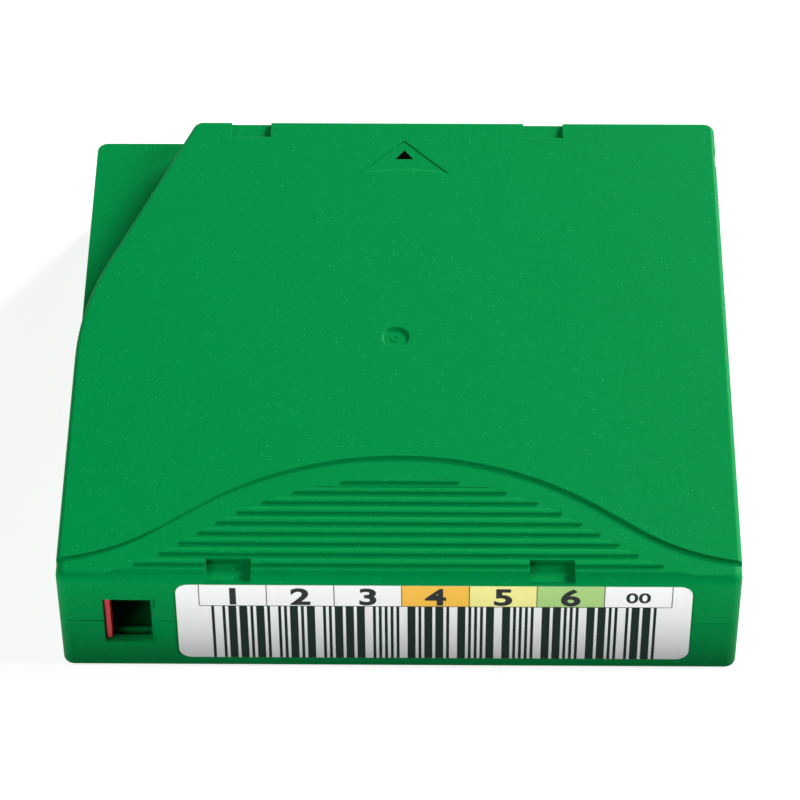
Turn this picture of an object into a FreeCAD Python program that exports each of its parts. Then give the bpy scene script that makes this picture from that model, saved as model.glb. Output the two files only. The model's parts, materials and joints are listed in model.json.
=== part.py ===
"""Half-inch data tape cartridge: two case shells, one reel, a sliding door and a reel brake.

Frame: origin at the centre of the case's underside, +X towards the door side, +Y the way the
cartridge goes into a drive, +Z up. Lengths are millimetres and angles are degrees.
"""
import FreeCAD, Part
import math
import os

V = FreeCAD.Vector
UP = V(0, 0, 1)
TINY = 1e-3
BEYOND = 5.0                    # how far a cutting tool runs past the face that it cuts

# Case
CASE_WIDTH = 105.4
CASE_DEPTH = 102.0
CASE_HEIGHT = 21.5
CORNER_RADIUS = 1.8
WALL = 1.6
FLOOR = 1.9
ROOF = 1.9
PARTING_HEIGHT = 10.75
TOP_ROUND = 0.8
BOTTOM_ROUND = 0.5
SEAM_CHAMFER = 0.12
LIP_HEIGHT = 1.0                # tongue of the lower shell inside the upper one
FIT_GAP = 0.05                  # between pieces that locate each other
SLIDE_GAP = 0.2                 # beside a piece that slides

# Guide corner at the far left: a step in the upper shell
GUIDE_ACROSS = 17.1
GUIDE_ALONG = 44.1
GUIDE_BEND_RADIUS = 60.6
GUIDE_STEP = 5.4

# Grip at the near end: a shallow bell with finger ribs
GRIP_CREST = 25.1               # crest of the bell, from the near face
GRIP_CREST_RADIUS = 51.7
GRIP_SLOPE = 36.9
GRIP_STRAIGHT = 8.1
GRIP_FLARE_RADIUS = 32.4
GRIP_DEPTH = 0.4
GRIP_ROUND = 1.4
RIB_MARGIN = 4.5                # from the bell's edge to the ends of the ribs
RIB_COUNT = 10
RIB_PITCH = 2.12
RIB_WIDTH = 1.1
RIB_FIRST = 1.7                 # far edge of the nearest rib, from the near face
RIB_DROP = 0.05                 # rib tops lie this far below the case top
RIB_CHAMFER = 0.12
RIB_NOSE = 1.9                  # rounding of the nearest rib into the near face

# Robot picker notches, in pairs either side of the reel axis
NOTCH_SPACING = 49.7
NOTCH_CENTRE_X = -1.3
NEAR_NOTCH_WIDTH = 7.0
NEAR_NOTCH_LENGTH = 4.0
NEAR_NOTCH_DEPTH = 1.45
NEAR_NOTCH_ROUND = 0.6
FAR_NOTCH_WIDTH = 6.7
FAR_NOTCH_LENGTH = 3.7
FAR_NOTCH_DEPTH = 0.8
FAR_NOTCH_ROUND = 0.2
NOTCH_RIM_ROUND = 0.4

# Marks moulded in the top
ARROW_INSET = 4.8
ARROW_HALF_WIDTH = 7.65
ARROW_LENGTH = 8.05
ARROW_SAG = 0.8
ARROW_DEPTH = 0.15
GATE_RADIUS = 2.35
GATE_LIP = 0.25                 # rounding of the dish's edge
GATE_FLOOR_RADIUS = 1.8
GATE_DEPTH = 0.4
GATE_NUB_RADIUS = 0.8
GATE_NUB_BORE = 0.4
GATE_NUB_HEIGHT = 0.08

# Label and its pocket in the near face
LABEL_WIDTH = 79.5
LABEL_CENTRE_X = 5.4
LABEL_BOTTOM = 1.85
LABEL_TOP_MARGIN = 2.2
LABEL_RADIUS = 2.0
LABEL_THICKNESS = 0.12
POCKET_MARGIN = 0.25
POCKET_DEPTH = 0.3

# Write-protect window and switch
WINDOW_LEFT = 7.0               # from the case's left side
WINDOW_WIDTH = 7.3
WINDOW_FLARE = 0.9
WINDOW_BOTTOM = 5.7             # the window is as far below the case's top
SWITCH_THICKNESS = 1.3
SWITCH_SHOWS = 1.05             # how far the switch reaches into the window at rest
SWITCH_RIDGE = 0.85
SWITCH_RIDGE_DEPTH = 1.1
RAIL_THICKNESS = 0.8
RAIL_HEIGHT = 2.7
RAIL_LENGTH = 15.0

# Reel
REEL_X = -1.0
REEL_WALL_GAP = 0.9             # from the flange to the near and far walls
REEL_SIDE_GAP = 1.6             # and to the left wall
REEL_LIFT_ROOM = 1.15           # above the upper flange
HUB_WINDOW_RADIUS = 21.5
SEAT_RING_WIDTH = 2.0
REEL_SEAT_HEIGHT = 3.3          # underside of the lower flange at rest
SEAT_GAP = 0.1
BOSS_RADIUS = 20.6
FLANGE_THICKNESS = 1.2
FLANGE_TAPER = 0.35
HUB_RADIUS = 22.0
HUB_BORE = 20.2
HUB_FLOOR_TOP = 4.4
SPIGOT_RADIUS = 21.2
SPIGOT_HEIGHT = 0.8
PACK_MARGIN = 1.7               # from the flange's rim to the outermost turn of tape
TAPE_GAP = 0.05

# Face gears: the drive turns the outer one, and the brake locks the inner one
TOOTH_COUNT = 60
TOOTH_ROOT_ANGLE = 3.4
TOOTH_TIP_ANGLE = 1.6
DRIVE_TOOTH_INNER = 16.6
DRIVE_TOOTH_OUTER = 19.6
DRIVE_TOOTH_TIP = 0.6           # height above the case's underside
DRIVE_TOOTH_ROOT = 2.0
LOCK_TOOTH_INNER = 12.8
LOCK_TOOTH_OUTER = 15.8
LOCK_TOOTH_HEIGHT = 1.0
LOCK_TOOTH_GAP = 0.1

# Steel chuck plate in the underside of the hub
PLATE_RADIUS = 15.0
PLATE_BORE = 6.0
PLATE_THICKNESS = 1.0
PLATE_PROUD = 0.5

# Brake release pad: a plate with arms whose legs reach down to the drive gear
ARM_COUNT = 3
ARM_FIRST_ANGLE = 90.0
ARM_HALF_WIDTH = 1.9
ARM_THICKNESS = 0.7
ARM_GAP = 0.25
PAD_RADIUS = 9.0
LEG_CIRCLE = 18.0
LEG_RADIUS = 1.5
LEG_HOLE_RADIUS = 1.9
LEG_END = 0.8                   # height above the case's underside
NUB_RADIUS = 2.5
NUB_TIP_RADIUS = 1.4
POCKET_FLOOR = 3.5              # floor of the pad's pocket in the hub

# Brake button, its guide cross and its spring
BRAKE_RADIUS = 16.0
BRAKE_RECESS_RADIUS = 12.4
BRAKE_RECESS_TOP = 6.1
BRAKE_DISC_TOP = 7.6
BRAKE_BOSS_RADIUS = 6.8
BRAKE_HEADROOM = 3.6            # above the brake's boss at rest
BRAKE_STROKE = 1.3
CROSS_THICKNESS = 1.4
CROSS_HALF_SPAN = 4.5
CROSS_CLEARANCE = 2.8           # from the brake's disc to the end of the cross
BRAKE_SPRING_RADIUS = 8.1
BRAKE_SPRING_WIRE = 0.9
BRAKE_SPRING_TURNS = 5
SPRING_CUP_WALL = 1.0
SPRING_CUP_HEIGHT = 1.2

# Sliding door, its opening and the slot for the drive's finger
OPENING_FRONT = 4.0             # from the far face
OPENING_LENGTH = 17.5
OPENING_MARGIN = 2.6            # from the case's underside, and from its top
DOOR_THICKNESS = 1.35
DOOR_OVERLAP_FRONT = 0.4
DOOR_OVERLAP_REAR = 1.5
DOOR_TRAVEL = 16.0
DOOR_GAP = 0.15
GROOVE_DEPTH = 0.6
GROOVE_PLAY = 0.5
TAB_LENGTH = 1.4
TAB_HEIGHT = 4.4
TAB_PROUD = 1.35
FINGER_SLOT_HEIGHT = 5.2
RELIEF_START = 6.6
RELIEF_LENGTH = 3.9
RELIEF_DEPTH = 0.2
DOOR_FOOT_LENGTH = 2.5
DOOR_SPRING_RADIUS = 1.0
DOOR_SPRING_WIRE = 0.36
DOOR_SPRING_TURNS = 14
DOOR_SPRING_LENGTH = 33.0
DOOR_SPRING_GAP = 0.12
SPRING_PEG_RADIUS = 0.7
SPRING_PEG_LENGTH = 2.0
STOP_LENGTH = 2.0
STOP_HEIGHT = 5.6

# Leader pin, its clip, seats and retaining spring
PIN_INSET_X = 10.7              # pin axis, from the door side
PIN_INSET_Y = 9.0               # pin axis, from the far face
PIN_RADIUS = 1.2
PIN_HEAD_RADIUS = 2.2
PIN_HEAD_HEIGHT = 0.9
PIN_END_GAP = 0.55              # from the floor or roof to the pin's end
CLIP_WALL = 0.5
LEAD_THICKNESS = 0.1
LEAD_GAP = 0.1
SEAT_HEIGHT = 1.7
SEAT_WALL = 1.4
LEAF_THICKNESS = 0.3
LEAF_STRIP = 1.5
LEAF_BACK = 5.4                 # from the pin axis to the leaf's back
POST_HEIGHT = 6.0
POST_THICKNESS = 0.8

# Screws, driven from below
SCREW_HEAD_RADIUS = 2.4
SCREW_HEAD_HEIGHT = 1.7
SCREW_RADIUS = 1.15
SCREW_TIP = 11.5
SCREW_RECESS_RADIUS = 2.7
SCREW_RECESS_DEPTH = 2.6
SCREW_HOLE_RADIUS = 1.35
PILOT_RADIUS = 1.2
PILOT_DEPTH = 6.0
POST_RADIUS = 3.6
POST_JOINT = 6.0                # where the lower post meets the upper one
SCREW_LEFT_INSET = 8.2
SCREW_RIGHT_INSET = 8.4
SCREW_NEAR_INSET = 14.0
SCREW_FAR_LEFT_INSET = 9.5
SCREW_FAR_RIGHT_INSET_X = 18.0
SCREW_FAR_RIGHT_INSET_Y = 5.9

# Location holes in the underside
LOCATOR_OFFSET = 28.0           # either side of the reel axis
LOCATOR_INSET = 5.2             # from the far face
LOCATOR_RADIUS = 2.25
LOCATOR_DEPTH = 3.8
LOCATOR_SLOT = 1.6              # how much longer the slotted one is
CUP_WALL = 1.1

# Memory board, leaning in the near right corner
BOARD_WIDTH = 19.0
BOARD_HEIGHT = 10.0
BOARD_THICKNESS = 0.8
BOARD_RIGHT_INSET = 3.4
BOARD_FOOT_INSET = 9.3          # foot of the board, from the near face
BOARD_FOOT_HEIGHT = 2.4
BOARD_LEAN = 45.0
CHIP_WIDTH = 5.0
CHIP_HEIGHT = 4.0
CHIP_THICKNESS = 0.7
CRADLE_THICKNESS = 1.2
CRADLE_INSET = 2.0

LEFT = -CASE_WIDTH / 2
RIGHT = CASE_WIDTH / 2
NEAR = -CASE_DEPTH / 2
FAR = CASE_DEPTH / 2
CEILING = CASE_HEIGHT - ROOF
GUIDE_LEVEL = CASE_HEIGHT - GUIDE_STEP
INNER_RIGHT = RIGHT - WALL
INNER_NEAR = NEAR + WALL
GRIP_LEVEL = CASE_HEIGHT - GRIP_DEPTH

LABEL_HEIGHT = CASE_HEIGHT - LABEL_TOP_MARGIN - LABEL_BOTTOM
WINDOW_HEIGHT = CASE_HEIGHT - 2 * WINDOW_BOTTOM

# The reel is the largest that fits along the case and across it.
REEL_ROOM_ALONG = CASE_DEPTH / 2 - WALL - REEL_WALL_GAP
REEL_ROOM_ACROSS = CASE_WIDTH / 2 - WALL - REEL_SIDE_GAP + REEL_X
FLANGE_RADIUS = min(REEL_ROOM_ALONG, REEL_ROOM_ACROSS)
TAPE_PACK_RADIUS = FLANGE_RADIUS - PACK_MARGIN
LOWER_TAPE_FACE = REEL_SEAT_HEIGHT + FLANGE_THICKNESS
UPPER_TAPE_FACE = CEILING - REEL_LIFT_ROOM - FLANGE_THICKNESS
TAPE_BOTTOM = LOWER_TAPE_FACE + TAPE_GAP
TAPE_TOP = UPPER_TAPE_FACE - TAPE_GAP
PLATE_BOTTOM = DRIVE_TOOTH_ROOT - PLATE_PROUD
TOOTH_STEP = 360.0 / TOOTH_COUNT
ARM_TOP = POCKET_FLOOR + FIT_GAP + ARM_THICKNESS
BRAKE_TOOTH_TIP = HUB_FLOOR_TOP + LOCK_TOOTH_GAP
BRAKE_TOOTH_ROOT = BRAKE_TOOTH_TIP + LOCK_TOOTH_HEIGHT
BRAKE_BOSS_TOP = CEILING - BRAKE_HEADROOM
CROSS_BOTTOM = BRAKE_DISC_TOP + CROSS_CLEARANCE

OPENING_BOTTOM = OPENING_MARGIN
OPENING_TOP = CASE_HEIGHT - OPENING_MARGIN
OPENING_FAR_Y = FAR - OPENING_FRONT
OPENING_NEAR_Y = OPENING_FAR_Y - OPENING_LENGTH
DOOR_FAR_Y = OPENING_FAR_Y + DOOR_OVERLAP_FRONT
DOOR_NEAR_Y = OPENING_NEAR_Y - DOOR_OVERLAP_REAR
DOOR_OUTER_X = INNER_RIGHT - DOOR_GAP
DOOR_INNER_X = DOOR_OUTER_X - DOOR_THICKNESS
DOOR_MIDDLE_Z = (OPENING_BOTTOM + OPENING_TOP) / 2
DOOR_SPRING_REACH = DOOR_SPRING_RADIUS + DOOR_SPRING_WIRE / 2 + DOOR_SPRING_GAP
DOOR_SPRING_X = INNER_RIGHT - DOOR_SPRING_REACH
STOP_FAR_Y = DOOR_NEAR_Y - DOOR_SPRING_LENGTH

PIN_X = RIGHT - PIN_INSET_X
PIN_Y = FAR - PIN_INSET_Y
PIN_BOTTOM = FLOOR + PIN_END_GAP
PIN_TOP = CEILING - PIN_END_GAP


def box(x0, x1, y0, y1, z0, z1):
    """Upright block between two corners."""
    return Part.makeBox(x1 - x0, y1 - y0, z1 - z0, V(x0, y0, z0))


def cylinder(x, y, radius, z0, z1):
    """Upright round post."""
    return Part.makeCylinder(radius, z1 - z0, V(x, y, z0), UP)


def ring(x, y, outer, inner, z0, z1):
    """Upright round tube."""
    return cylinder(x, y, outer, z0, z1).cut(cylinder(x, y, inner, z0, z1))


def prism(face, z0, z1):
    """Solid over a flat outline drawn at height 0."""
    base = face.copy()
    base.translate(V(0, 0, z0))
    return base.extrude(V(0, 0, z1 - z0))


def outline(edges):
    """Flat face inside a closed run of edges."""
    return Part.Face(Part.Wire(Part.sortEdges(edges)[0]))


def polygon(points):
    """Flat face with straight sides through three-dimensional points."""
    return Part.Face(Part.makePolygon(points + points[:1]))


def rounded_outline(corners):
    """Flat face at height 0 from (x, y, radius) corners, with sides tangent to each round."""
    starts = []
    ends = []
    edges = []
    for index, (x, y, radius) in enumerate(corners):
        corner = V(x, y, 0)
        before = V(*corners[index - 1][:2], 0) - corner
        after = V(*corners[(index + 1) % len(corners)][:2], 0) - corner
        before.normalize()
        after.normalize()
        half_angle = before.getAngle(after) / 2
        reach = radius / math.tan(half_angle)
        bisector = before + after
        bisector.normalize()
        middle = corner + bisector * (radius / math.sin(half_angle) - radius)
        starts.append(corner + before * reach)
        ends.append(corner + after * reach)
        edges.append(Part.Arc(starts[-1], middle, ends[-1]).toShape())
    for index, end in enumerate(ends):
        edges.append(Part.makeLine(end, starts[(index + 1) % len(corners)]))
    return outline(edges)


def rounded_rectangle(x0, x1, y0, y1, radius):
    """Flat rectangle at height 0 with four equal rounds."""
    return rounded_outline([(x0, y0, radius), (x1, y0, radius), (x1, y1, radius), (x0, y1, radius)])


def edges_at(shape, height):
    """Edges of a shape that lie flat at one height."""
    boxes = [(edge, edge.BoundBox) for edge in shape.Edges]
    return [edge for edge, b in boxes if abs(b.ZMin - height) < TINY and abs(b.ZMax - height) < TINY]


def topped_with_round(face, z0, z1, radius):
    """Prism whose upper rim is rounded."""
    block = prism(face, z0, z1)
    return block.makeFillet(radius, edges_at(block, z1))


def block_with_round_nose(x0, x1, nose_y, back_y, z0, z1, radius):
    """Block with one rounded upper edge, along X at nose_y."""
    block = box(x0, x1, min(nose_y, back_y), max(nose_y, back_y), z0, z1)
    rim = [edge for edge in edges_at(block, z1) if abs(edge.CenterOfMass.y - nose_y) < TINY]
    return block.makeFillet(radius, rim)


def around_reel(shape, angle):
    """Copy of a shape turned about the reel's axis."""
    turned = shape.copy()
    turned.rotate(V(REEL_X, 0, 0), UP, angle)
    return turned


def case_outline():
    """Plan of the whole case."""
    return rounded_rectangle(LEFT, RIGHT, NEAR, FAR, CORNER_RADIUS)


def guided_outline():
    """Plan of the case above the guide step, with the far left corner cut off."""
    return rounded_outline([
        (LEFT, NEAR, CORNER_RADIUS),
        (RIGHT, NEAR, CORNER_RADIUS),
        (RIGHT, FAR, CORNER_RADIUS),
        (LEFT + GUIDE_ACROSS, FAR, CORNER_RADIUS),
        (LEFT, FAR - GUIDE_ALONG, GUIDE_BEND_RADIUS),
    ])


def bell_outline(margin):
    """Grip area seen from above: a crest arc that flares out to both sides, moved in by a margin."""
    slope = math.radians(GRIP_SLOPE)
    normal = V(math.sin(slope), math.cos(slope), 0)
    along = V(math.cos(slope), -math.sin(slope), 0)
    crest_centre = V(0, NEAR + GRIP_CREST - GRIP_CREST_RADIUS, 0)
    flare_centre = crest_centre + normal * (GRIP_CREST_RADIUS + GRIP_FLARE_RADIUS) + along * GRIP_STRAIGHT
    crest_radius = GRIP_CREST_RADIUS - margin
    flare_radius = GRIP_FLARE_RADIUS + margin
    crest = crest_centre + V(0, crest_radius, 0)
    crest_end = crest_centre + normal * crest_radius
    flare_start = flare_centre - normal * flare_radius
    half = slope / 2
    flare_middle = flare_centre - V(math.sin(half), math.cos(half), 0) * flare_radius
    flare_end = flare_centre - V(0, flare_radius, 0)
    skirt = flare_end - V(0, CASE_DEPTH, 0)

    def mirrored(point):
        return V(-point.x, point.y, 0)

    return outline([
        Part.Arc(mirrored(crest_end), crest, crest_end).toShape(),
        Part.makeLine(crest_end, flare_start),
        Part.Arc(flare_start, flare_middle, flare_end).toShape(),
        Part.makeLine(flare_end, skirt),
        Part.makeLine(skirt, mirrored(skirt)),
        Part.makeLine(mirrored(skirt), mirrored(flare_end)),
        Part.Arc(mirrored(flare_end), mirrored(flare_middle), mirrored(flare_start)).toShape(),
        Part.makeLine(mirrored(flare_start), mirrored(crest_end)),
    ])


def rib_bar(index):
    """One finger rib across the whole case, with its far upper edge chamfered."""
    far_y = NEAR + RIB_FIRST + index * RIB_PITCH
    near_y = far_y - RIB_WIDTH if index else NEAR - BEYOND
    root = GRIP_LEVEL - GRIP_ROUND
    top = CASE_HEIGHT - RIB_DROP
    section = polygon([
        V(LEFT, near_y, root),
        V(LEFT, near_y, top),
        V(LEFT, far_y - RIB_CHAMFER, top),
        V(LEFT, far_y, top - RIB_CHAMFER),
        V(LEFT, far_y, root),
    ])
    return section.extrude(V(CASE_WIDTH, 0, 0))


def grip_ribs():
    """Finger ribs, trimmed to the bell and rounded into the near face."""
    root = GRIP_LEVEL - GRIP_ROUND
    zone = prism(bell_outline(RIB_MARGIN), root - 1, CASE_HEIGHT)
    nose = block_with_round_nose(LEFT, RIGHT, NEAR, 0, root - 1, CASE_HEIGHT - RIB_DROP, RIB_NOSE)
    limit = zone.common(nose)
    return [rib_bar(index).common(limit) for index in range(RIB_COUNT)]


def case_block():
    """Solid outside form of the closed case, before it is hollowed."""
    base = prism(case_outline(), 0, GUIDE_LEVEL)
    base = base.makeFillet(BOTTOM_ROUND, edges_at(base, 0))
    top = topped_with_round(guided_outline(), GUIDE_LEVEL, CASE_HEIGHT, TOP_ROUND)
    grip = topped_with_round(case_outline(), GUIDE_LEVEL, GRIP_LEVEL, GRIP_ROUND)
    grip_zone = prism(bell_outline(0), GUIDE_LEVEL, CASE_HEIGHT + BEYOND)
    pieces = [top.cut(grip_zone), grip.common(grip_zone)] + grip_ribs()
    return base.fuse(pieces).removeSplitter().cut(picker_notches())


def cavity():
    """Space inside the walls, lower under the guide corner."""
    low = prism(case_outline().makeOffset2D(-WALL), FLOOR, GUIDE_LEVEL - WALL)
    high = prism(guided_outline().makeOffset2D(-WALL), FLOOR, CEILING)
    return low.fuse(high)


def lip_ring(outer_inset, height):
    """Band on the inner half of the wall, upwards from the parting plane."""
    outer = prism(case_outline().makeOffset2D(-outer_inset), PARTING_HEIGHT, PARTING_HEIGHT + height)
    inner = prism(case_outline().makeOffset2D(-WALL), PARTING_HEIGHT, PARTING_HEIGHT + height)
    return outer.cut(inner)


def notch(centre_x, face_y, inward, width, length, depth, nose):
    """Cutter for one picker notch: open at the case's face, its floor rounded there."""
    x0 = centre_x - width / 2
    x1 = centre_x + width / 2
    floor = CASE_HEIGHT - depth
    back_y = face_y + inward * length
    outside_y = face_y - inward * BEYOND
    kept = block_with_round_nose(x0 - 1, x1 + 1, face_y, back_y + inward, floor - 2, floor, nose)
    low_y = min(back_y, outside_y)
    high_y = max(back_y, outside_y)
    return box(x0, x1, low_y, high_y, floor - nose, CASE_HEIGHT + BEYOND).cut(kept)


def picker_notches():
    """Cutters for the four picker notches."""
    cutters = []
    for side in (-1, 1):
        x = NOTCH_CENTRE_X + side * NOTCH_SPACING / 2
        cutters.append(notch(x, NEAR, 1, NEAR_NOTCH_WIDTH, NEAR_NOTCH_LENGTH,
                             NEAR_NOTCH_DEPTH, NEAR_NOTCH_ROUND))
        cutters.append(notch(x, FAR, -1, FAR_NOTCH_WIDTH, FAR_NOTCH_LENGTH,
                             FAR_NOTCH_DEPTH, FAR_NOTCH_ROUND))
        cutters.append(notch_rim(x))
    return cutters


def notch_rim(centre_x):
    """Cutter that rounds the upper edges of one far notch."""
    x0 = centre_x - FAR_NOTCH_WIDTH / 2
    x1 = centre_x + FAR_NOTCH_WIDTH / 2
    back_y = FAR - FAR_NOTCH_LENGTH
    low = CASE_HEIGHT - FAR_NOTCH_DEPTH
    plate = box(x0 - 1, x1 + 1, back_y - 1, FAR + BEYOND, low, CASE_HEIGHT)
    plate = plate.cut(box(x0, x1, back_y, FAR + BEYOND, low, CASE_HEIGHT))
    rims = []
    for edge in edges_at(plate, CASE_HEIGHT):
        place = edge.CenterOfMass
        if abs(place.x - centre_x) < FAR_NOTCH_WIDTH / 2 + TINY and back_y - TINY < place.y < FAR:
            rims.append(edge)
    plate = plate.makeFillet(NOTCH_RIM_ROUND, rims)
    reach = box(x0 - NOTCH_RIM_ROUND, x1 + NOTCH_RIM_ROUND, back_y - NOTCH_RIM_ROUND, FAR + BEYOND,
                CASE_HEIGHT - NOTCH_RIM_ROUND, CASE_HEIGHT + BEYOND)
    return reach.cut(plate)


def arrow_mark():
    """Cutter for the shallow insertion arrow, whose base is an arc."""
    tip = V(0, FAR - ARROW_INSET, 0)
    base_y = tip.y - ARROW_LENGTH
    left = V(-ARROW_HALF_WIDTH, base_y, 0)
    right = V(ARROW_HALF_WIDTH, base_y, 0)
    arc = Part.Arc(left, V(0, base_y + ARROW_SAG, 0), right).toShape()
    face = outline([Part.makeLine(left, tip), Part.makeLine(tip, right), arc])
    return prism(face, CASE_HEIGHT - ARROW_DEPTH, CASE_HEIGHT + BEYOND)


def gate_mark():
    """Cutter for the dished moulding gate over the reel's axis, its lip rounded, with a low ring in it."""
    centre = V(REEL_X, 0, CASE_HEIGHT - GATE_DEPTH)
    foot = centre + V(GATE_FLOOR_RADIUS, 0, 0)
    lip_start = V(REEL_X + GATE_RADIUS - GATE_LIP, 0, CASE_HEIGHT - GATE_LIP)
    lip_end = V(REEL_X + GATE_RADIUS, 0, CASE_HEIGHT)
    lip_middle = V(lip_end.x, 0, lip_start.z) + V(-GATE_LIP, 0, GATE_LIP) * math.sqrt(0.5)
    over = V(0, 0, BEYOND)
    section = outline([
        Part.makeLine(centre, foot),
        Part.makeLine(foot, lip_start),
        Part.Arc(lip_start, lip_middle, lip_end).toShape(),
        Part.makeLine(lip_end, lip_end + over),
        Part.makeLine(lip_end + over, V(REEL_X, 0, CASE_HEIGHT) + over),
        Part.makeLine(V(REEL_X, 0, CASE_HEIGHT) + over, centre),
    ])
    dish = section.revolve(V(REEL_X, 0, 0), UP, 360)
    nub_top = centre.z + GATE_NUB_HEIGHT
    return dish.cut(ring(REEL_X, 0, GATE_NUB_RADIUS, GATE_NUB_BORE, centre.z, nub_top))


def on_near_face(face, y0, y1):
    """Solid from a flat outline stood upright, its y becoming height, between two depths."""
    upright = face.copy()
    upright.rotate(V(0, 0, 0), V(1, 0, 0), 90)
    upright.translate(V(0, y0, 0))
    return upright.extrude(V(0, y1 - y0, 0))


def label_outline(margin):
    """Label's outline with a margin around it."""
    half = LABEL_WIDTH / 2 + margin
    low = LABEL_BOTTOM - margin
    high = LABEL_BOTTOM + LABEL_HEIGHT + margin
    x0 = LABEL_CENTRE_X - half
    return rounded_rectangle(x0, x0 + 2 * half, low, high, LABEL_RADIUS + margin)


def label_pocket():
    """Cutter for the shallow pocket that the label sits in."""
    return on_near_face(label_outline(POCKET_MARGIN), NEAR - BEYOND, NEAR + POCKET_DEPTH)


def window_opening():
    """Cutter for the write-protect window, flared on its right side."""
    x0 = LEFT + WINDOW_LEFT
    x1 = x0 + WINDOW_WIDTH
    plan = polygon([
        V(x0, NEAR - BEYOND, 0),
        V(x1 + WINDOW_FLARE, NEAR - BEYOND, 0),
        V(x1 + WINDOW_FLARE, NEAR, 0),
        V(x1, NEAR + WINDOW_FLARE, 0),
        V(x1, INNER_NEAR + TINY, 0),
        V(x0, INNER_NEAR + TINY, 0),
    ])
    return prism(plan, WINDOW_BOTTOM, WINDOW_BOTTOM + WINDOW_HEIGHT)


def door_opening():
    """Cutters for the side opening, and for the drive finger's slot in the corner beside it."""
    x1 = RIGHT + BEYOND
    side = box(INNER_RIGHT - TINY, x1, OPENING_NEAR_Y, OPENING_FAR_Y, OPENING_BOTTOM, OPENING_TOP)
    half = FINGER_SLOT_HEIGHT / 2
    y1 = FAR + BEYOND
    z0 = DOOR_MIDDLE_Z - half
    z1 = DOOR_MIDDLE_Z + half
    return [side, box(DOOR_INNER_X - DOOR_GAP, x1, OPENING_FAR_Y - TINY, y1, z0, z1)]


def side_relief():
    """Cutter for the slight set-back of the edge above the door."""
    y1 = FAR - RELIEF_START
    y0 = y1 - RELIEF_LENGTH
    return box(RIGHT - RELIEF_DEPTH, RIGHT + BEYOND, y0, y1, OPENING_TOP, CASE_HEIGHT + BEYOND)


def door_groove(z0, z1):
    """Cutter for one of the grooves that the door's edges run in."""
    y0 = DOOR_NEAR_Y - DOOR_TRAVEL - GROOVE_PLAY
    y1 = DOOR_FAR_Y + GROOVE_PLAY
    return box(DOOR_INNER_X - DOOR_GAP, INNER_RIGHT, y0, y1, z0, z1)


def switch_rail(z0, z1):
    """Rail behind the write-protect switch."""
    y0 = INNER_NEAR + SWITCH_THICKNESS + 2 * SLIDE_GAP
    return box(LEFT + WALL, LEFT + WALL + RAIL_LENGTH, y0, y0 + RAIL_THICKNESS, z0, z1)


def screw_places():
    """Axes of the four case screws."""
    return [
        (LEFT + SCREW_LEFT_INSET, NEAR + SCREW_NEAR_INSET),
        (RIGHT - SCREW_RIGHT_INSET, NEAR + SCREW_NEAR_INSET),
        (LEFT + SCREW_LEFT_INSET, FAR - SCREW_FAR_LEFT_INSET),
        (RIGHT - SCREW_FAR_RIGHT_INSET_X, FAR - SCREW_FAR_RIGHT_INSET_Y),
    ]


def pin_seat(z0, z1, recess0, recess1):
    """Block with a slot, open towards the door, that holds one end of the leader pin."""
    reach = PIN_HEAD_RADIUS + SLIDE_GAP
    x0 = PIN_X - reach - SEAT_WALL
    x1 = PIN_X + PIN_HEAD_RADIUS - LEAF_THICKNESS
    block = box(x0, x1, PIN_Y - reach - SEAT_WALL, PIN_Y + reach + SEAT_WALL, z0, z1)
    slot = box(PIN_X, x1 + BEYOND, PIN_Y - reach, PIN_Y + reach, recess0, recess1)
    return block.cut(cylinder(PIN_X, PIN_Y, reach, recess0, recess1)).cut(slot)


def spring_stop():
    """Block on the lower side wall, with a peg, that the door's spring pushes against."""
    x0 = DOOR_SPRING_X - DOOR_SPRING_REACH
    y0 = STOP_FAR_Y - STOP_LENGTH
    z0 = DOOR_MIDDLE_Z - STOP_HEIGHT / 2
    z1 = DOOR_MIDDLE_Z + STOP_HEIGHT / 2
    block = box(x0, INNER_RIGHT - FIT_GAP, y0, STOP_FAR_Y, z0, z1)
    root = box(x0, INNER_RIGHT + TINY, y0, STOP_FAR_Y, z0, PARTING_HEIGHT)
    return block.fuse([root, spring_peg(STOP_FAR_Y, 1)])


def spring_peg(face_y, direction):
    """Peg that keeps one end of the door spring in line."""
    root = V(DOOR_SPRING_X, face_y - direction * TINY, DOOR_MIDDLE_Z)
    return Part.makeCylinder(SPRING_PEG_RADIUS, SPRING_PEG_LENGTH, root, V(0, direction, 0))


def leaf_posts():
    """Two ribs on the floor that grip the back of the retaining spring."""
    x0 = PIN_X + PIN_HEAD_RADIUS + FIT_GAP
    y1 = PIN_Y + LEAF_BACK
    y0 = y1 - LEAF_STRIP
    inner = box(x0 - FIT_GAP - POST_THICKNESS, x0 - FIT_GAP, y0, y1, FLOOR, POST_HEIGHT)
    outer_x = x0 + LEAF_THICKNESS + FIT_GAP
    return [inner, box(outer_x, outer_x + POST_THICKNESS, y0, y1, FLOOR, POST_HEIGHT)]


def leaning_plate(x0, x1, along0, along1, out0, out1):
    """Plate in the memory board's own plane: along its lean from the foot, and out from its back."""
    lean = math.radians(BOARD_LEAN)
    foot = V(x0, NEAR + BOARD_FOOT_INSET, BOARD_FOOT_HEIGHT)
    along = V(0, -math.cos(lean), math.sin(lean))
    out = V(0, math.sin(lean), math.cos(lean))
    corners = [(along0, out0), (along1, out0), (along1, out1), (along0, out1)]
    section = polygon([foot + along * a + out * b for a, b in corners])
    return section.extrude(V(x1 - x0, 0, 0))


def board_span():
    """Left and right ends of the memory board."""
    x1 = INNER_RIGHT - BOARD_RIGHT_INSET
    return x1 - BOARD_WIDTH, x1


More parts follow.
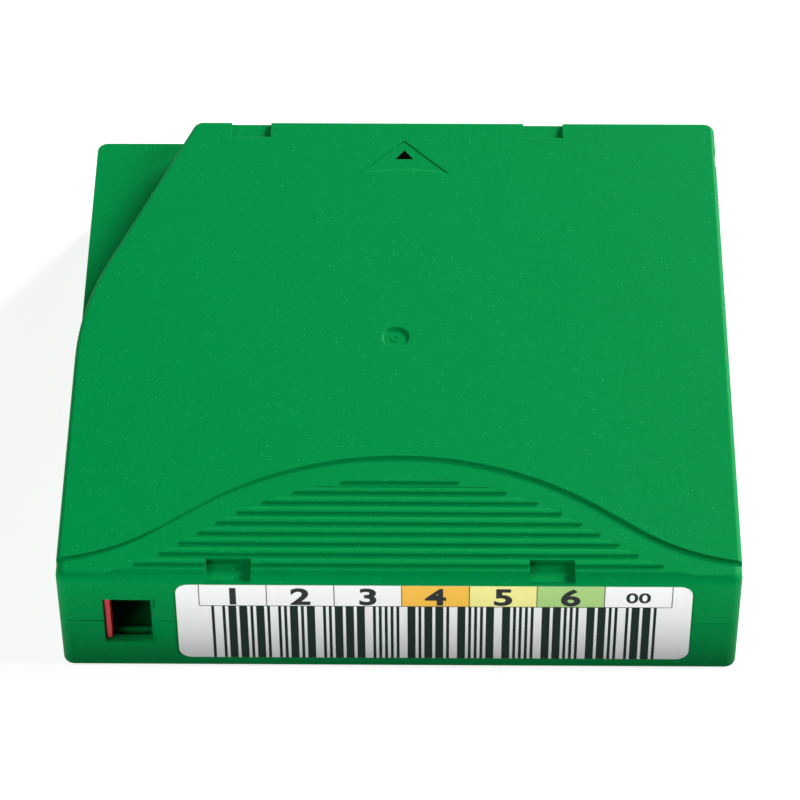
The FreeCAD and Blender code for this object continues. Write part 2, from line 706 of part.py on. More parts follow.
def board_cradles():
    """Wedges under the memory board, with a toe that holds its foot."""
    wedges = []
    left, right = board_span()
    front = NEAR + BOARD_FOOT_INSET
    for x0 in (left + CRADLE_INSET, right - CRADLE_INSET - CRADLE_THICKNESS):
        x1 = x0 + CRADLE_THICKNESS
        top = BOARD_FOOT_HEIGHT + BOARD_HEIGHT
        block = box(x0, x1, INNER_NEAR - TINY, front + 1, FLOOR - TINY, top)
        above = leaning_plate(x0 - 1, x1 + 1, -top, 2 * top, -FIT_GAP, 3 * top)
        toe = box(x0, x1, front + 1, front + 2, FLOOR - TINY, BOARD_FOOT_HEIGHT + 1)
        wedges.append(block.cut(above).fuse(toe))
    return wedges


def radial_tooth(inner, outer, root_z, tip_z):
    """Wedge tooth of a face gear on the reel's axis, pointing along +X."""
    rings = []
    for radius in (inner, outer):
        root = radius * math.radians(TOOTH_ROOT_ANGLE) / 2
        tip = radius * math.radians(TOOTH_TIP_ANGLE) / 2
        x = REEL_X + radius
        corners = [V(x, -root, root_z), V(x, root, root_z), V(x, tip, tip_z), V(x, -tip, tip_z)]
        rings.append(Part.makePolygon(corners + corners[:1]))
    return Part.makeLoft(rings, True, True)


def arm_angles():
    """Directions of the release pad's arms."""
    return [ARM_FIRST_ANGLE + index * 360.0 / ARM_COUNT for index in range(ARM_COUNT)]


def face_gear(inner, outer, root_z, tip_z, phase, clear_angle):
    """Teeth around the reel's axis, left out within clear_angle of each arm."""
    tooth = radial_tooth(inner, outer, root_z, tip_z)
    teeth = []
    for index in range(TOOTH_COUNT):
        angle = (index + phase) * TOOTH_STEP
        offsets = [abs((angle - arm + 180) % 360 - 180) for arm in arm_angles()]
        if min(offsets) > clear_angle:
            teeth.append(around_reel(tooth, angle))
    return teeth


def arm_shape(half_width, reach, z0, z1):
    """Radial arm with a round end, along the first arm's direction."""
    bar = box(REEL_X, REEL_X + reach, -half_width, half_width, z0, z1)
    return around_reel(bar.fuse(cylinder(REEL_X + reach, 0, half_width, z0, z1)), ARM_FIRST_ANGLE)


def turned(profile):
    """Solid of revolution about the reel's axis from (radius, height) points."""
    points = [V(REEL_X + radius, 0, height) for radius, height in profile]
    return polygon(points).revolve(V(REEL_X, 0, 0), UP, 360)


def upper_shell(block):
    """Roof half of the case with its posts, guide cross, rails and pin seat."""
    above = box(LEFT - 1, RIGHT + 1, NEAR - 1, FAR + 1, PARTING_HEIGHT, CASE_HEIGHT + 1)
    shell = block.common(above)
    shell = shell.makeChamfer(SEAM_CHAMFER, edges_at(shell, PARTING_HEIGHT))
    shell = shell.cut(cavity()).cut(lip_ring(WALL / 2, LIP_HEIGHT + FIT_GAP))
    arm = box(REEL_X - CROSS_HALF_SPAN, REEL_X + CROSS_HALF_SPAN,
              -CROSS_THICKNESS / 2, CROSS_THICKNESS / 2, CROSS_BOTTOM, CEILING + TINY)
    cup = BRAKE_SPRING_RADIUS + BRAKE_SPRING_WIRE / 2 + SLIDE_GAP
    features = [arm, around_reel(arm, 90)]
    cup_bottom = CEILING - SPRING_CUP_HEIGHT
    features.append(ring(REEL_X, 0, cup + SPRING_CUP_WALL, cup, cup_bottom, CEILING + TINY))
    features.append(switch_rail(CEILING - RAIL_HEIGHT, CEILING + TINY))
    features.append(pin_seat(CEILING - SEAT_HEIGHT, CEILING + TINY, CEILING - BEYOND, PIN_TOP + FIT_GAP))
    for x, y in screw_places():
        features.append(cylinder(x, y, POST_RADIUS, POST_JOINT, CEILING + TINY).common(block))
    shell = shell.fuse(features)
    cutters = door_opening()
    cutters += [arrow_mark(), gate_mark(), label_pocket(), window_opening(), side_relief()]
    cutters.append(door_groove(CEILING - TINY, CEILING + GROOVE_DEPTH))
    for x, y in screw_places():
        cutters.append(cylinder(x, y, PILOT_RADIUS, POST_JOINT - TINY, POST_JOINT + PILOT_DEPTH))
    return shell.cut(cutters).removeSplitter()


def long_hole(x, y, half_length, radius):
    """Flat outline with two straight sides along X and a round at each end."""
    offset = half_length - radius
    low = V(x - offset, y - radius, 0)
    high = V(x - offset, y + radius, 0)
    shift = V(2 * offset, 0, 0)
    return outline([
        Part.Arc(low, V(x - half_length, y, 0), high).toShape(),
        Part.makeLine(high, high + shift),
        Part.Arc(high + shift, V(x + half_length, y, 0), low + shift).toShape(),
        Part.makeLine(low + shift, low),
    ])


def locator_slot(x, y):
    """Cutter for the slotted location hole, long across the case."""
    plan = long_hole(x, y, LOCATOR_RADIUS + LOCATOR_SLOT / 2, LOCATOR_RADIUS)
    return prism(plan, -BEYOND, LOCATOR_DEPTH)


def lower_shell(block):
    """Floor half of the case with the hub window, posts, location holes, rails and cradles."""
    below = box(LEFT - 1, RIGHT + 1, NEAR - 1, FAR + 1, -1, PARTING_HEIGHT)
    shell = block.common(below)
    shell = shell.makeChamfer(SEAM_CHAMFER, edges_at(shell, PARTING_HEIGHT))
    shell = shell.cut(cavity())
    locator_y = FAR - LOCATOR_INSET
    hole_x = REEL_X + LOCATOR_OFFSET
    slot_x = REEL_X - LOCATOR_OFFSET
    cup_radius = LOCATOR_RADIUS + CUP_WALL
    cup_top = LOCATOR_DEPTH + CUP_WALL
    half = cup_radius + LOCATOR_SLOT / 2
    slot_cup = long_hole(slot_x, locator_y, half, cup_radius)
    seat_top = REEL_SEAT_HEIGHT - SEAT_GAP
    features = [
        lip_ring(WALL / 2 + FIT_GAP, LIP_HEIGHT),
        ring(REEL_X, 0, HUB_WINDOW_RADIUS + SEAT_RING_WIDTH, HUB_WINDOW_RADIUS, FLOOR - TINY, seat_top),
        switch_rail(FLOOR - TINY, FLOOR + RAIL_HEIGHT),
        pin_seat(FLOOR - TINY, FLOOR + SEAT_HEIGHT, PIN_BOTTOM - FIT_GAP, FLOOR + BEYOND),
        spring_stop(),
        cylinder(hole_x, locator_y, cup_radius, FLOOR - TINY, cup_top),
        prism(slot_cup, FLOOR - TINY, cup_top),
    ]
    features += leaf_posts() + board_cradles()
    features += [cylinder(x, y, POST_RADIUS, FLOOR - TINY, POST_JOINT) for x, y in screw_places()]
    shell = shell.fuse(features)
    cutters = [cylinder(REEL_X, 0, HUB_WINDOW_RADIUS, -1, seat_top + 1)]
    cutters += [label_pocket(), window_opening(), locator_slot(slot_x, locator_y)]
    cutters += door_opening()
    cutters.append(cylinder(hole_x, locator_y, LOCATOR_RADIUS, -1, LOCATOR_DEPTH))
    cutters.append(door_groove(FLOOR - GROOVE_DEPTH, FLOOR + TINY))
    for x, y in screw_places():
        cutters.append(cylinder(x, y, SCREW_RECESS_RADIUS, -1, SCREW_RECESS_DEPTH))
        cutters.append(cylinder(x, y, SCREW_HOLE_RADIUS, -1, POST_JOINT + 1))
    return shell.cut(cutters).removeSplitter()


def case_screws():
    """Four screws, driven from below, as separate solids."""
    screws = []
    head_bottom = SCREW_RECESS_DEPTH - SCREW_HEAD_HEIGHT
    for x, y in screw_places():
        head = cylinder(x, y, SCREW_HEAD_RADIUS, head_bottom, SCREW_RECESS_DEPTH)
        shank = cylinder(x, y, SCREW_RADIUS, SCREW_RECESS_DEPTH - TINY, SCREW_TIP)
        screws.append(head.fuse(shank).removeSplitter())
    return Part.makeCompound(screws)


def reel_hub():
    """Hub cup and lower flange in one moulding, with the drive gear below and the lock gear above."""
    plate_seat = PLATE_RADIUS + FIT_GAP
    plate_ceiling = PLATE_BOTTOM + PLATE_THICKNESS + FIT_GAP
    body = turned([
        (0, PLATE_BOTTOM),
        (PLATE_BORE - FIT_GAP, PLATE_BOTTOM),
        (PLATE_BORE - FIT_GAP, plate_ceiling),
        (plate_seat, plate_ceiling),
        (plate_seat, DRIVE_TOOTH_ROOT),
        (BOSS_RADIUS, DRIVE_TOOTH_ROOT),
        (BOSS_RADIUS, REEL_SEAT_HEIGHT),
        (HUB_WINDOW_RADIUS + SEAT_RING_WIDTH, REEL_SEAT_HEIGHT),
        (FLANGE_RADIUS, REEL_SEAT_HEIGHT + FLANGE_TAPER),
        (FLANGE_RADIUS, LOWER_TAPE_FACE),
        (HUB_RADIUS, LOWER_TAPE_FACE),
        (HUB_RADIUS, UPPER_TAPE_FACE),
        (SPIGOT_RADIUS, UPPER_TAPE_FACE),
        (SPIGOT_RADIUS, UPPER_TAPE_FACE + SPIGOT_HEIGHT),
        (HUB_BORE, UPPER_TAPE_FACE + SPIGOT_HEIGHT),
        (HUB_BORE, HUB_FLOOR_TOP),
        (0, HUB_FLOOR_TOP),
    ])
    pocket_top = HUB_FLOOR_TOP + 1
    groove = arm_shape(ARM_HALF_WIDTH + ARM_GAP, LEG_CIRCLE, POCKET_FLOOR, pocket_top)
    hole = around_reel(cylinder(REEL_X + LEG_CIRCLE, 0, LEG_HOLE_RADIUS, 0, pocket_top), ARM_FIRST_ANGLE)
    cutters = [cylinder(REEL_X, 0, PAD_RADIUS + ARM_GAP, POCKET_FLOOR, pocket_top)]
    for angle in arm_angles():
        cutters.append(around_reel(groove, angle - ARM_FIRST_ANGLE))
        cutters.append(around_reel(hole, angle - ARM_FIRST_ANGLE))
    hole_angle = math.degrees(math.asin(LEG_HOLE_RADIUS / LEG_CIRCLE)) + TOOTH_ROOT_ANGLE / 2
    groove_angle = math.degrees(math.asin((ARM_HALF_WIDTH + ARM_GAP) / LOCK_TOOTH_INNER))
    groove_angle += TOOTH_ROOT_ANGLE / 2
    root = DRIVE_TOOTH_ROOT + TINY
    drive = face_gear(DRIVE_TOOTH_INNER, DRIVE_TOOTH_OUTER, root, DRIVE_TOOTH_TIP, 0.5, hole_angle)
    root = HUB_FLOOR_TOP - TINY
    tip = HUB_FLOOR_TOP + LOCK_TOOTH_HEIGHT
    lock = face_gear(LOCK_TOOTH_INNER, LOCK_TOOTH_OUTER, root, tip, 0.5, groove_angle)
    return body.cut(cutters).fuse(drive + lock)


def reel_upper_flange():
    """Disc that closes the tape space, located on the hub's spigot and tapered to its rim."""
    return turned([
        (SPIGOT_RADIUS + FIT_GAP, UPPER_TAPE_FACE),
        (FLANGE_RADIUS, UPPER_TAPE_FACE),
        (FLANGE_RADIUS, UPPER_TAPE_FACE + FLANGE_THICKNESS - FLANGE_TAPER),
        (HUB_WINDOW_RADIUS + SEAT_RING_WIDTH, UPPER_TAPE_FACE + FLANGE_THICKNESS),
        (SPIGOT_RADIUS + FIT_GAP, UPPER_TAPE_FACE + FLANGE_THICKNESS),
    ])


def reel_chuck_plate():
    """Steel ring that the drive's magnet holds."""
    return ring(REEL_X, 0, PLATE_RADIUS, PLATE_BORE, PLATE_BOTTOM, PLATE_BOTTOM + PLATE_THICKNESS)


def tape_pack():
    """Wound tape between the flanges, as one solid."""
    return ring(REEL_X, 0, TAPE_PACK_RADIUS, HUB_RADIUS + TAPE_GAP, TAPE_BOTTOM, TAPE_TOP)


def brake_release_pad():
    """Three-armed plate whose legs stand in the drive gear and whose nub lifts the brake."""
    bottom = POCKET_FLOOR + FIT_GAP
    pad = cylinder(REEL_X, 0, PAD_RADIUS, bottom, ARM_TOP)
    nub_top = BRAKE_RECESS_TOP - FIT_GAP
    nub = Part.makeCone(NUB_RADIUS, NUB_TIP_RADIUS, nub_top - ARM_TOP, V(REEL_X, 0, ARM_TOP), UP)
    arm = arm_shape(ARM_HALF_WIDTH, LEG_CIRCLE, bottom, ARM_TOP)
    leg = around_reel(cylinder(REEL_X + LEG_CIRCLE, 0, LEG_RADIUS, LEG_END, ARM_TOP), ARM_FIRST_ANGLE)
    pieces = [nub]
    for angle in arm_angles():
        pieces.append(around_reel(arm, angle - ARM_FIRST_ANGLE))
        pieces.append(around_reel(leg, angle - ARM_FIRST_ANGLE))
    return pad.fuse(pieces).removeSplitter()


def brake_button():
    """Toothed disc that locks the hub, with a boss slotted for the upper shell's cross."""
    body = turned([
        (0, BRAKE_RECESS_TOP),
        (BRAKE_RECESS_RADIUS, BRAKE_RECESS_TOP),
        (BRAKE_RECESS_RADIUS, BRAKE_TOOTH_ROOT),
        (BRAKE_RADIUS, BRAKE_TOOTH_ROOT),
        (BRAKE_RADIUS, BRAKE_DISC_TOP),
        (BRAKE_BOSS_RADIUS, BRAKE_DISC_TOP),
        (BRAKE_BOSS_RADIUS, BRAKE_BOSS_TOP),
        (0, BRAKE_BOSS_TOP),
    ])
    half_slot = CROSS_THICKNESS / 2 + SLIDE_GAP
    reach = CROSS_HALF_SPAN + SLIDE_GAP
    slot_floor = CROSS_BOTTOM - BRAKE_STROKE - SLIDE_GAP
    slot = box(REEL_X - reach, REEL_X + reach, -half_slot, half_slot, slot_floor, BRAKE_BOSS_TOP + 1)
    root = BRAKE_TOOTH_ROOT + TINY
    teeth = face_gear(LOCK_TOOTH_INNER, LOCK_TOOTH_OUTER, root, BRAKE_TOOTH_TIP, 0, -1)
    return body.cut([slot, around_reel(slot, 90)]).fuse(teeth)


def coil(radius, wire, turns, length, steps, sides):
    """Compression spring standing on height 0, lofted through wire sections along its helix."""
    sections = []
    rise = length - wire
    for index in range(turns * steps + 1):
        height = wire / 2 + rise * index / (turns * steps)
        section = []
        for corner in range(sides + 1):
            angle = 2 * math.pi * corner / sides
            section.append(V(radius + math.cos(angle) * wire / 2, 0, height + math.sin(angle) * wire / 2))
        wire_section = Part.makePolygon(section)
        wire_section.rotate(V(0, 0, 0), UP, index * 360.0 / steps)
        sections.append(wire_section)
    return Part.makeLoft(sections, True, True)


def brake_spring():
    """Spring between the brake's disc and the roof."""
    length = CEILING - BRAKE_DISC_TOP - 2 * FIT_GAP
    spring = coil(BRAKE_SPRING_RADIUS, BRAKE_SPRING_WIRE, BRAKE_SPRING_TURNS, length, 12, 6)
    spring.translate(V(REEL_X, 0, BRAKE_DISC_TOP + FIT_GAP))
    return spring


def door_spring():
    """Spring between the stop on the side wall and the door."""
    length = DOOR_SPRING_LENGTH - 2 * FIT_GAP
    spring = coil(DOOR_SPRING_RADIUS, DOOR_SPRING_WIRE, DOOR_SPRING_TURNS, length, 8, 4)
    spring.rotate(V(0, 0, 0), V(1, 0, 0), -90)
    spring.translate(V(DOOR_SPRING_X, STOP_FAR_Y + FIT_GAP, DOOR_MIDDLE_Z))
    return spring


def sliding_door():
    """Plate over the leader pin, with a tab for the drive's finger and a foot and peg for its spring."""
    edge = GROOVE_DEPTH - DOOR_GAP
    plate = box(DOOR_INNER_X, DOOR_OUTER_X, DOOR_NEAR_Y, DOOR_FAR_Y, FLOOR - edge, CEILING + edge)
    half = TAB_HEIGHT / 2
    tab = box(DOOR_OUTER_X - TINY, DOOR_OUTER_X + TAB_PROUD, DOOR_FAR_Y - TAB_LENGTH, DOOR_FAR_Y,
              DOOR_MIDDLE_Z - half, DOOR_MIDDLE_Z + half)
    half = STOP_HEIGHT / 2
    foot = box(DOOR_SPRING_X - DOOR_SPRING_REACH, DOOR_INNER_X + TINY, DOOR_NEAR_Y,
               DOOR_NEAR_Y + DOOR_FOOT_LENGTH, DOOR_MIDDLE_Z - half, DOOR_MIDDLE_Z + half)
    return plate.fuse([tab, foot, spring_peg(DOOR_NEAR_Y, -1)]).removeSplitter()


def write_protect_switch():
    """Slide between the near wall and its rails, with a ridge that shows in the window."""
    right = LEFT + WINDOW_LEFT + SWITCH_SHOWS
    front = INNER_NEAR + SLIDE_GAP
    plate = box(LEFT + WALL + SLIDE_GAP, right, front, front + SWITCH_THICKNESS,
                FLOOR + SLIDE_GAP, CEILING - SLIDE_GAP)
    z0 = WINDOW_BOTTOM + SLIDE_GAP
    z1 = WINDOW_BOTTOM + WINDOW_HEIGHT - SLIDE_GAP
    ridge = box(right - SWITCH_RIDGE, right, front - SWITCH_RIDGE_DEPTH, front + TINY, z0, z1)
    return plate.fuse(ridge).removeSplitter()


def leader_pin():
    """Steel pin with a head at each end."""
    barrel = cylinder(PIN_X, PIN_Y, PIN_RADIUS, PIN_BOTTOM, PIN_TOP)
    low = cylinder(PIN_X, PIN_Y, PIN_HEAD_RADIUS, PIN_BOTTOM, PIN_BOTTOM + PIN_HEAD_HEIGHT)
    high = cylinder(PIN_X, PIN_Y, PIN_HEAD_RADIUS, PIN_TOP - PIN_HEAD_HEIGHT, PIN_TOP)
    return barrel.fuse([low, high]).removeSplitter()


def leader_pin_clip():
    """Split sleeve that snaps over the tape's end on the pin."""
    bore = PIN_RADIUS + FIT_GAP
    sleeve = ring(PIN_X, PIN_Y, bore + CLIP_WALL, bore, TAPE_BOTTOM, TAPE_TOP)
    mouth = box(PIN_X - PIN_HEAD_RADIUS, PIN_X, PIN_Y - PIN_RADIUS / 2, PIN_Y + PIN_RADIUS / 2,
                TAPE_BOTTOM - 1, TAPE_TOP + 1)
    return sleeve.cut(mouth)


def tape_lead():
    """Free length of tape, tangent to the pack and to the pin's clip."""
    pack = V(REEL_X, 0, TAPE_BOTTOM)
    pin = V(PIN_X, PIN_Y, TAPE_BOTTOM)
    pack_radius = TAPE_PACK_RADIUS + LEAD_GAP
    clip_radius = PIN_RADIUS + FIT_GAP + CLIP_WALL + FIT_GAP
    span = pin - pack
    bearing = math.atan2(span.y, span.x) - math.acos((pack_radius - clip_radius) / span.Length)
    out = V(math.cos(bearing), math.sin(bearing), 0)
    start = pack + out * pack_radius
    end = pin + out * clip_radius
    skin = out * LEAD_THICKNESS
    return polygon([start, end, end + skin, start + skin]).extrude(V(0, 0, TAPE_TOP - TAPE_BOTTOM))


def pin_retaining_spring():
    """Flat steel leaf with two arms that close the pin's seats."""
    x0 = PIN_X + PIN_HEAD_RADIUS + FIT_GAP
    y1 = PIN_Y + LEAF_BACK
    y0 = PIN_Y - PIN_RADIUS
    leaf = box(x0, x0 + LEAF_THICKNESS, y0, y1, PIN_BOTTOM, PIN_TOP)
    z0 = PIN_BOTTOM + PIN_HEAD_HEIGHT
    z1 = PIN_TOP - PIN_HEAD_HEIGHT
    return leaf.cut(box(x0 - 1, x0 + 1, y0 - 1, y1 - LEAF_STRIP, z0, z1))


def memory_board():
    """Small circuit board, readable from below and behind."""
    left, right = board_span()
    return leaning_plate(left, right, 0, BOARD_HEIGHT, 0, BOARD_THICKNESS)


def memory_chip():
    """Chip on the inner face of the memory board."""
    left, right = board_span()
    middle = (left + right) / 2
    foot = (BOARD_HEIGHT - CHIP_HEIGHT) / 2
    x0 = middle - CHIP_WIDTH / 2
    outer = BOARD_THICKNESS + CHIP_THICKNESS
    return leaning_plate(x0, x0 + CHIP_WIDTH, foot, foot + CHIP_HEIGHT, BOARD_THICKNESS, outer)


def barcode_label():
    """Paper label on the floor of its pocket."""
    back = NEAR + POCKET_DEPTH
    return on_near_face(label_outline(0), back - LABEL_THICKNESS, back)


def build_parts():
    """Every piece of the cartridge by its node name."""
    block = case_block()
    return {
        "upper_shell": upper_shell(block),
        "lower_shell": lower_shell(block),
        "case_screws": case_screws(),
        "barcode_label": barcode_label(),
        "write_protect_switch": write_protect_switch(),
        "sliding_door": sliding_door(),
        "door_spring": door_spring(),
        "reel_hub": reel_hub(),
        "reel_upper_flange": reel_upper_flange(),
        "reel_chuck_plate": reel_chuck_plate(),
        "tape_pack": tape_pack(),
        "tape_lead": tape_lead(),
        "leader_pin": leader_pin(),
        "leader_pin_clip": leader_pin_clip(),
        "pin_retaining_spring": pin_retaining_spring(),
        "brake_button": brake_button(),
        "brake_spring": brake_spring(),
        "brake_release_pad": brake_release_pad(),
        "memory_board": memory_board(),
        "memory_chip": memory_chip(),
    }


os.makedirs("parts", exist_ok=True)
for name, shape in build_parts().items():
    print(name, len(shape.Solids), shape.isValid(), round(shape.Volume, 2))
    shape.exportStep("parts/" + name + ".step")
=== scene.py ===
"""Dresses a half-inch data tape cartridge and sets it in a plain studio."""
import json
import logging
import math
from collections.abc import Iterable
from dataclasses import dataclass
from enum import Enum

import bmesh
import bpy
from mathutils import Euler, Matrix, Vector


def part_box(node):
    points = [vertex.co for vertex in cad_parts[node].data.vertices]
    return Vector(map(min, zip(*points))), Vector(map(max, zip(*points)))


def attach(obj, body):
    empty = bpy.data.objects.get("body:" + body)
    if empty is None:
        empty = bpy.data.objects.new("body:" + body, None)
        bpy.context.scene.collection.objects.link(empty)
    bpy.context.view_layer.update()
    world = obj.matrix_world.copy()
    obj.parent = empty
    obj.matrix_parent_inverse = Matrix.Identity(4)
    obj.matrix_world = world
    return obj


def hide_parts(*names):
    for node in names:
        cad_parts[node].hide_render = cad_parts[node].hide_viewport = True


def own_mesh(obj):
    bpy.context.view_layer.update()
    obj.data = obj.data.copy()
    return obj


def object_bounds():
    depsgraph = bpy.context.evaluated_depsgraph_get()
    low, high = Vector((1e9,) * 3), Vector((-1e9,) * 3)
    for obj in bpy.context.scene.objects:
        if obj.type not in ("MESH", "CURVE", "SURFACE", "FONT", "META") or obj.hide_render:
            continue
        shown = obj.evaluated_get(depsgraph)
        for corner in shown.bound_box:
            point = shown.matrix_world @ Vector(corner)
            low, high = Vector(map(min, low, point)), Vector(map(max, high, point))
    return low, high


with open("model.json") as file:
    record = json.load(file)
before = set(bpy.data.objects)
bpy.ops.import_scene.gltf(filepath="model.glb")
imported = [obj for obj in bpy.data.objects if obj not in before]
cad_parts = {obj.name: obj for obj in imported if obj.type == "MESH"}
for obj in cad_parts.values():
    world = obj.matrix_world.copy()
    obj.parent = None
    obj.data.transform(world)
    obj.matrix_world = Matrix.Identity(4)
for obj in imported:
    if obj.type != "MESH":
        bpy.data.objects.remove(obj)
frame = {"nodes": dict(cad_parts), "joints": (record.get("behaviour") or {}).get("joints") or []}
CAD_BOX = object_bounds()

MM = 0.001
# Places closer than this count as the same height or the same line
SLACK = 0.002 * MM
# Least upward part of a level face's normal, and greatest upward part of an upright one's
LEVEL_NORMAL = 0.99
UPRIGHT_NORMAL = 0.1
# Strength of each finer layer of a noise, as a share of the layer before
FINER_LAYER = 0.55
LOG = logging.getLogger("cartridge")


# Small helpers


def linear(hex_colour: str) -> tuple[float, float, float, float]:
    """Turns an sRGB hex colour into linear light.

    Args:
        hex_colour: six hex digits after a hash sign.

    Returns:
        Red, green, blue and an alpha of 1.
    """
    shares = [int(hex_colour[start:start + 2], 16) / 255 for start in (1, 3, 5)]
    red, green, blue = [c / 12.92 if c <= 0.04045 else ((c + 0.055) / 1.055) ** 2.4 for c in shares]
    return red, green, blue, 1.0


def add_node(tree: bpy.types.NodeTree, kind: str, feeds: dict | None = None, **settings) -> bpy.types.Node:
    """Adds a node to a tree with its settings and links.

    Args:
        tree: tree that gets the node.
        kind: Blender's name for the kind of node.
        feeds: what each input gets, by its name or number: an output to link, or a value.
        settings: the node's own properties.

    Returns:
        The new node.
    """
    made = tree.nodes.new(kind)
    for name, value in settings.items():
        setattr(made, name, value)
    for key, value in (feeds or {}).items():
        if isinstance(value, bpy.types.NodeSocket):
            tree.links.new(value, made.inputs[key])
        else:
            made.inputs[key].default_value = value
    return made


def work_out(tree: bpy.types.NodeTree, known: dict[str, bpy.types.NodeSocket],
             steps: list[tuple]) -> dict[str, bpy.types.NodeSocket]:
    """Adds the sums of a formula to a tree, step by step.

    Args:
        tree: tree that gets the sums.
        known: outputs that the steps may name.
        steps: the name of each result, its operation, and its terms, which are numbers or names.

    Returns:
        The known outputs and every result, by name.
    """
    results = dict(known)
    for name, operation, *terms in steps:
        feeds = {place: results.get(term, term) for place, term in enumerate(terms)}
        made = add_node(tree, "ShaderNodeMath", feeds, operation=operation, label=name)
        results[name] = made.outputs[0]
    return results


def seen_directly(tree: bpy.types.NodeTree) -> bpy.types.NodeSocket:
    """Tells the rays of the camera, of gloss and of glass from those that carry light.

    Args:
        tree: tree of a material or of the world.

    Returns:
        1 for the rays that show the background, otherwise 0.
    """
    rays = add_node(tree, "ShaderNodeLightPath").outputs
    known = {
        "camera": rays["Is Camera Ray"],
        "gloss": rays["Is Glossy Ray"],
        "glass": rays["Is Transmission Ray"],
    }
    return work_out(tree, known, [
        ("camera or gloss", "MAXIMUM", "camera", "gloss"),
        ("shown", "MAXIMUM", "camera or gloss", "glass"),
    ])["shown"]


def middle(node: str) -> Vector:
    """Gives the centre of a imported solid's box."""
    low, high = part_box(node)
    return (low + high) / 2


def mesh_object(name: str, mesh: bpy.types.Mesh) -> bpy.types.Object:
    """Puts a mesh in the scene as an object at the origin.

    Args:
        name: the object's name, which its mesh gets too.
        mesh: mesh whose points are already in place.

    Returns:
        The linked object.
    """
    mesh.name = name
    made = bpy.data.objects.new(name, mesh)
    bpy.context.scene.collection.objects.link(made)
    return made


def shape_object(name: str, shape: bmesh.types.BMesh, material: bpy.types.Material) -> bpy.types.Object:
    """Ends the work on a shape and puts it in the scene.

    Args:
        name: the object's name.
        shape: the worked-out form, which is freed afterwards.
        material: its only material.

    Returns:
        The linked object.
    """
    mesh = bpy.data.meshes.new(name)
    shape.to_mesh(mesh)
    shape.free()
    mesh.materials.append(material)
    return mesh_object(name, mesh)


# Finishes


def patches(place: bpy.types.NodeSocket, size_mm: float, detail: float = 2.0) -> dict:
    """Sizes a noise by its patches.

    Args:
        place: coordinates that the noise reads.
        size_mm: width of a patch in millimetres.
        detail: number of finer layers.

    Returns:
        What the noise's inputs get.
    """
    return {"Vector": place, "Scale": 1 / (size_mm * MM), "Detail": detail, "Roughness": FINER_LAYER}


def reel_radius(tree: bpy.types.NodeTree, place: bpy.types.NodeSocket) -> bpy.types.NodeSocket:
    """Measures how far a place lies from the reel's axis.

    Args:
        tree: tree of a material.
        place: coordinates to read.

    Returns:
        A vector with that distance as its first part.
    """
    to_axis = (-middle("reel_hub").x, 0, 0)
    centred = add_node(tree, "ShaderNodeMapping", {"Vector": place, "Location": to_axis})
    split = add_node(tree, "ShaderNodeSeparateXYZ", {"Vector": centred.outputs[0]})
    flat = add_node(tree, "ShaderNodeCombineXYZ", {"X": split.outputs[0], "Y": split.outputs[1]})
    radius = add_node(tree, "ShaderNodeVectorMath", {0: flat.outputs[0]}, operation="LENGTH")
    return add_node(tree, "ShaderNodeCombineXYZ", {"X": radius.outputs["Value"]}).outputs[0]


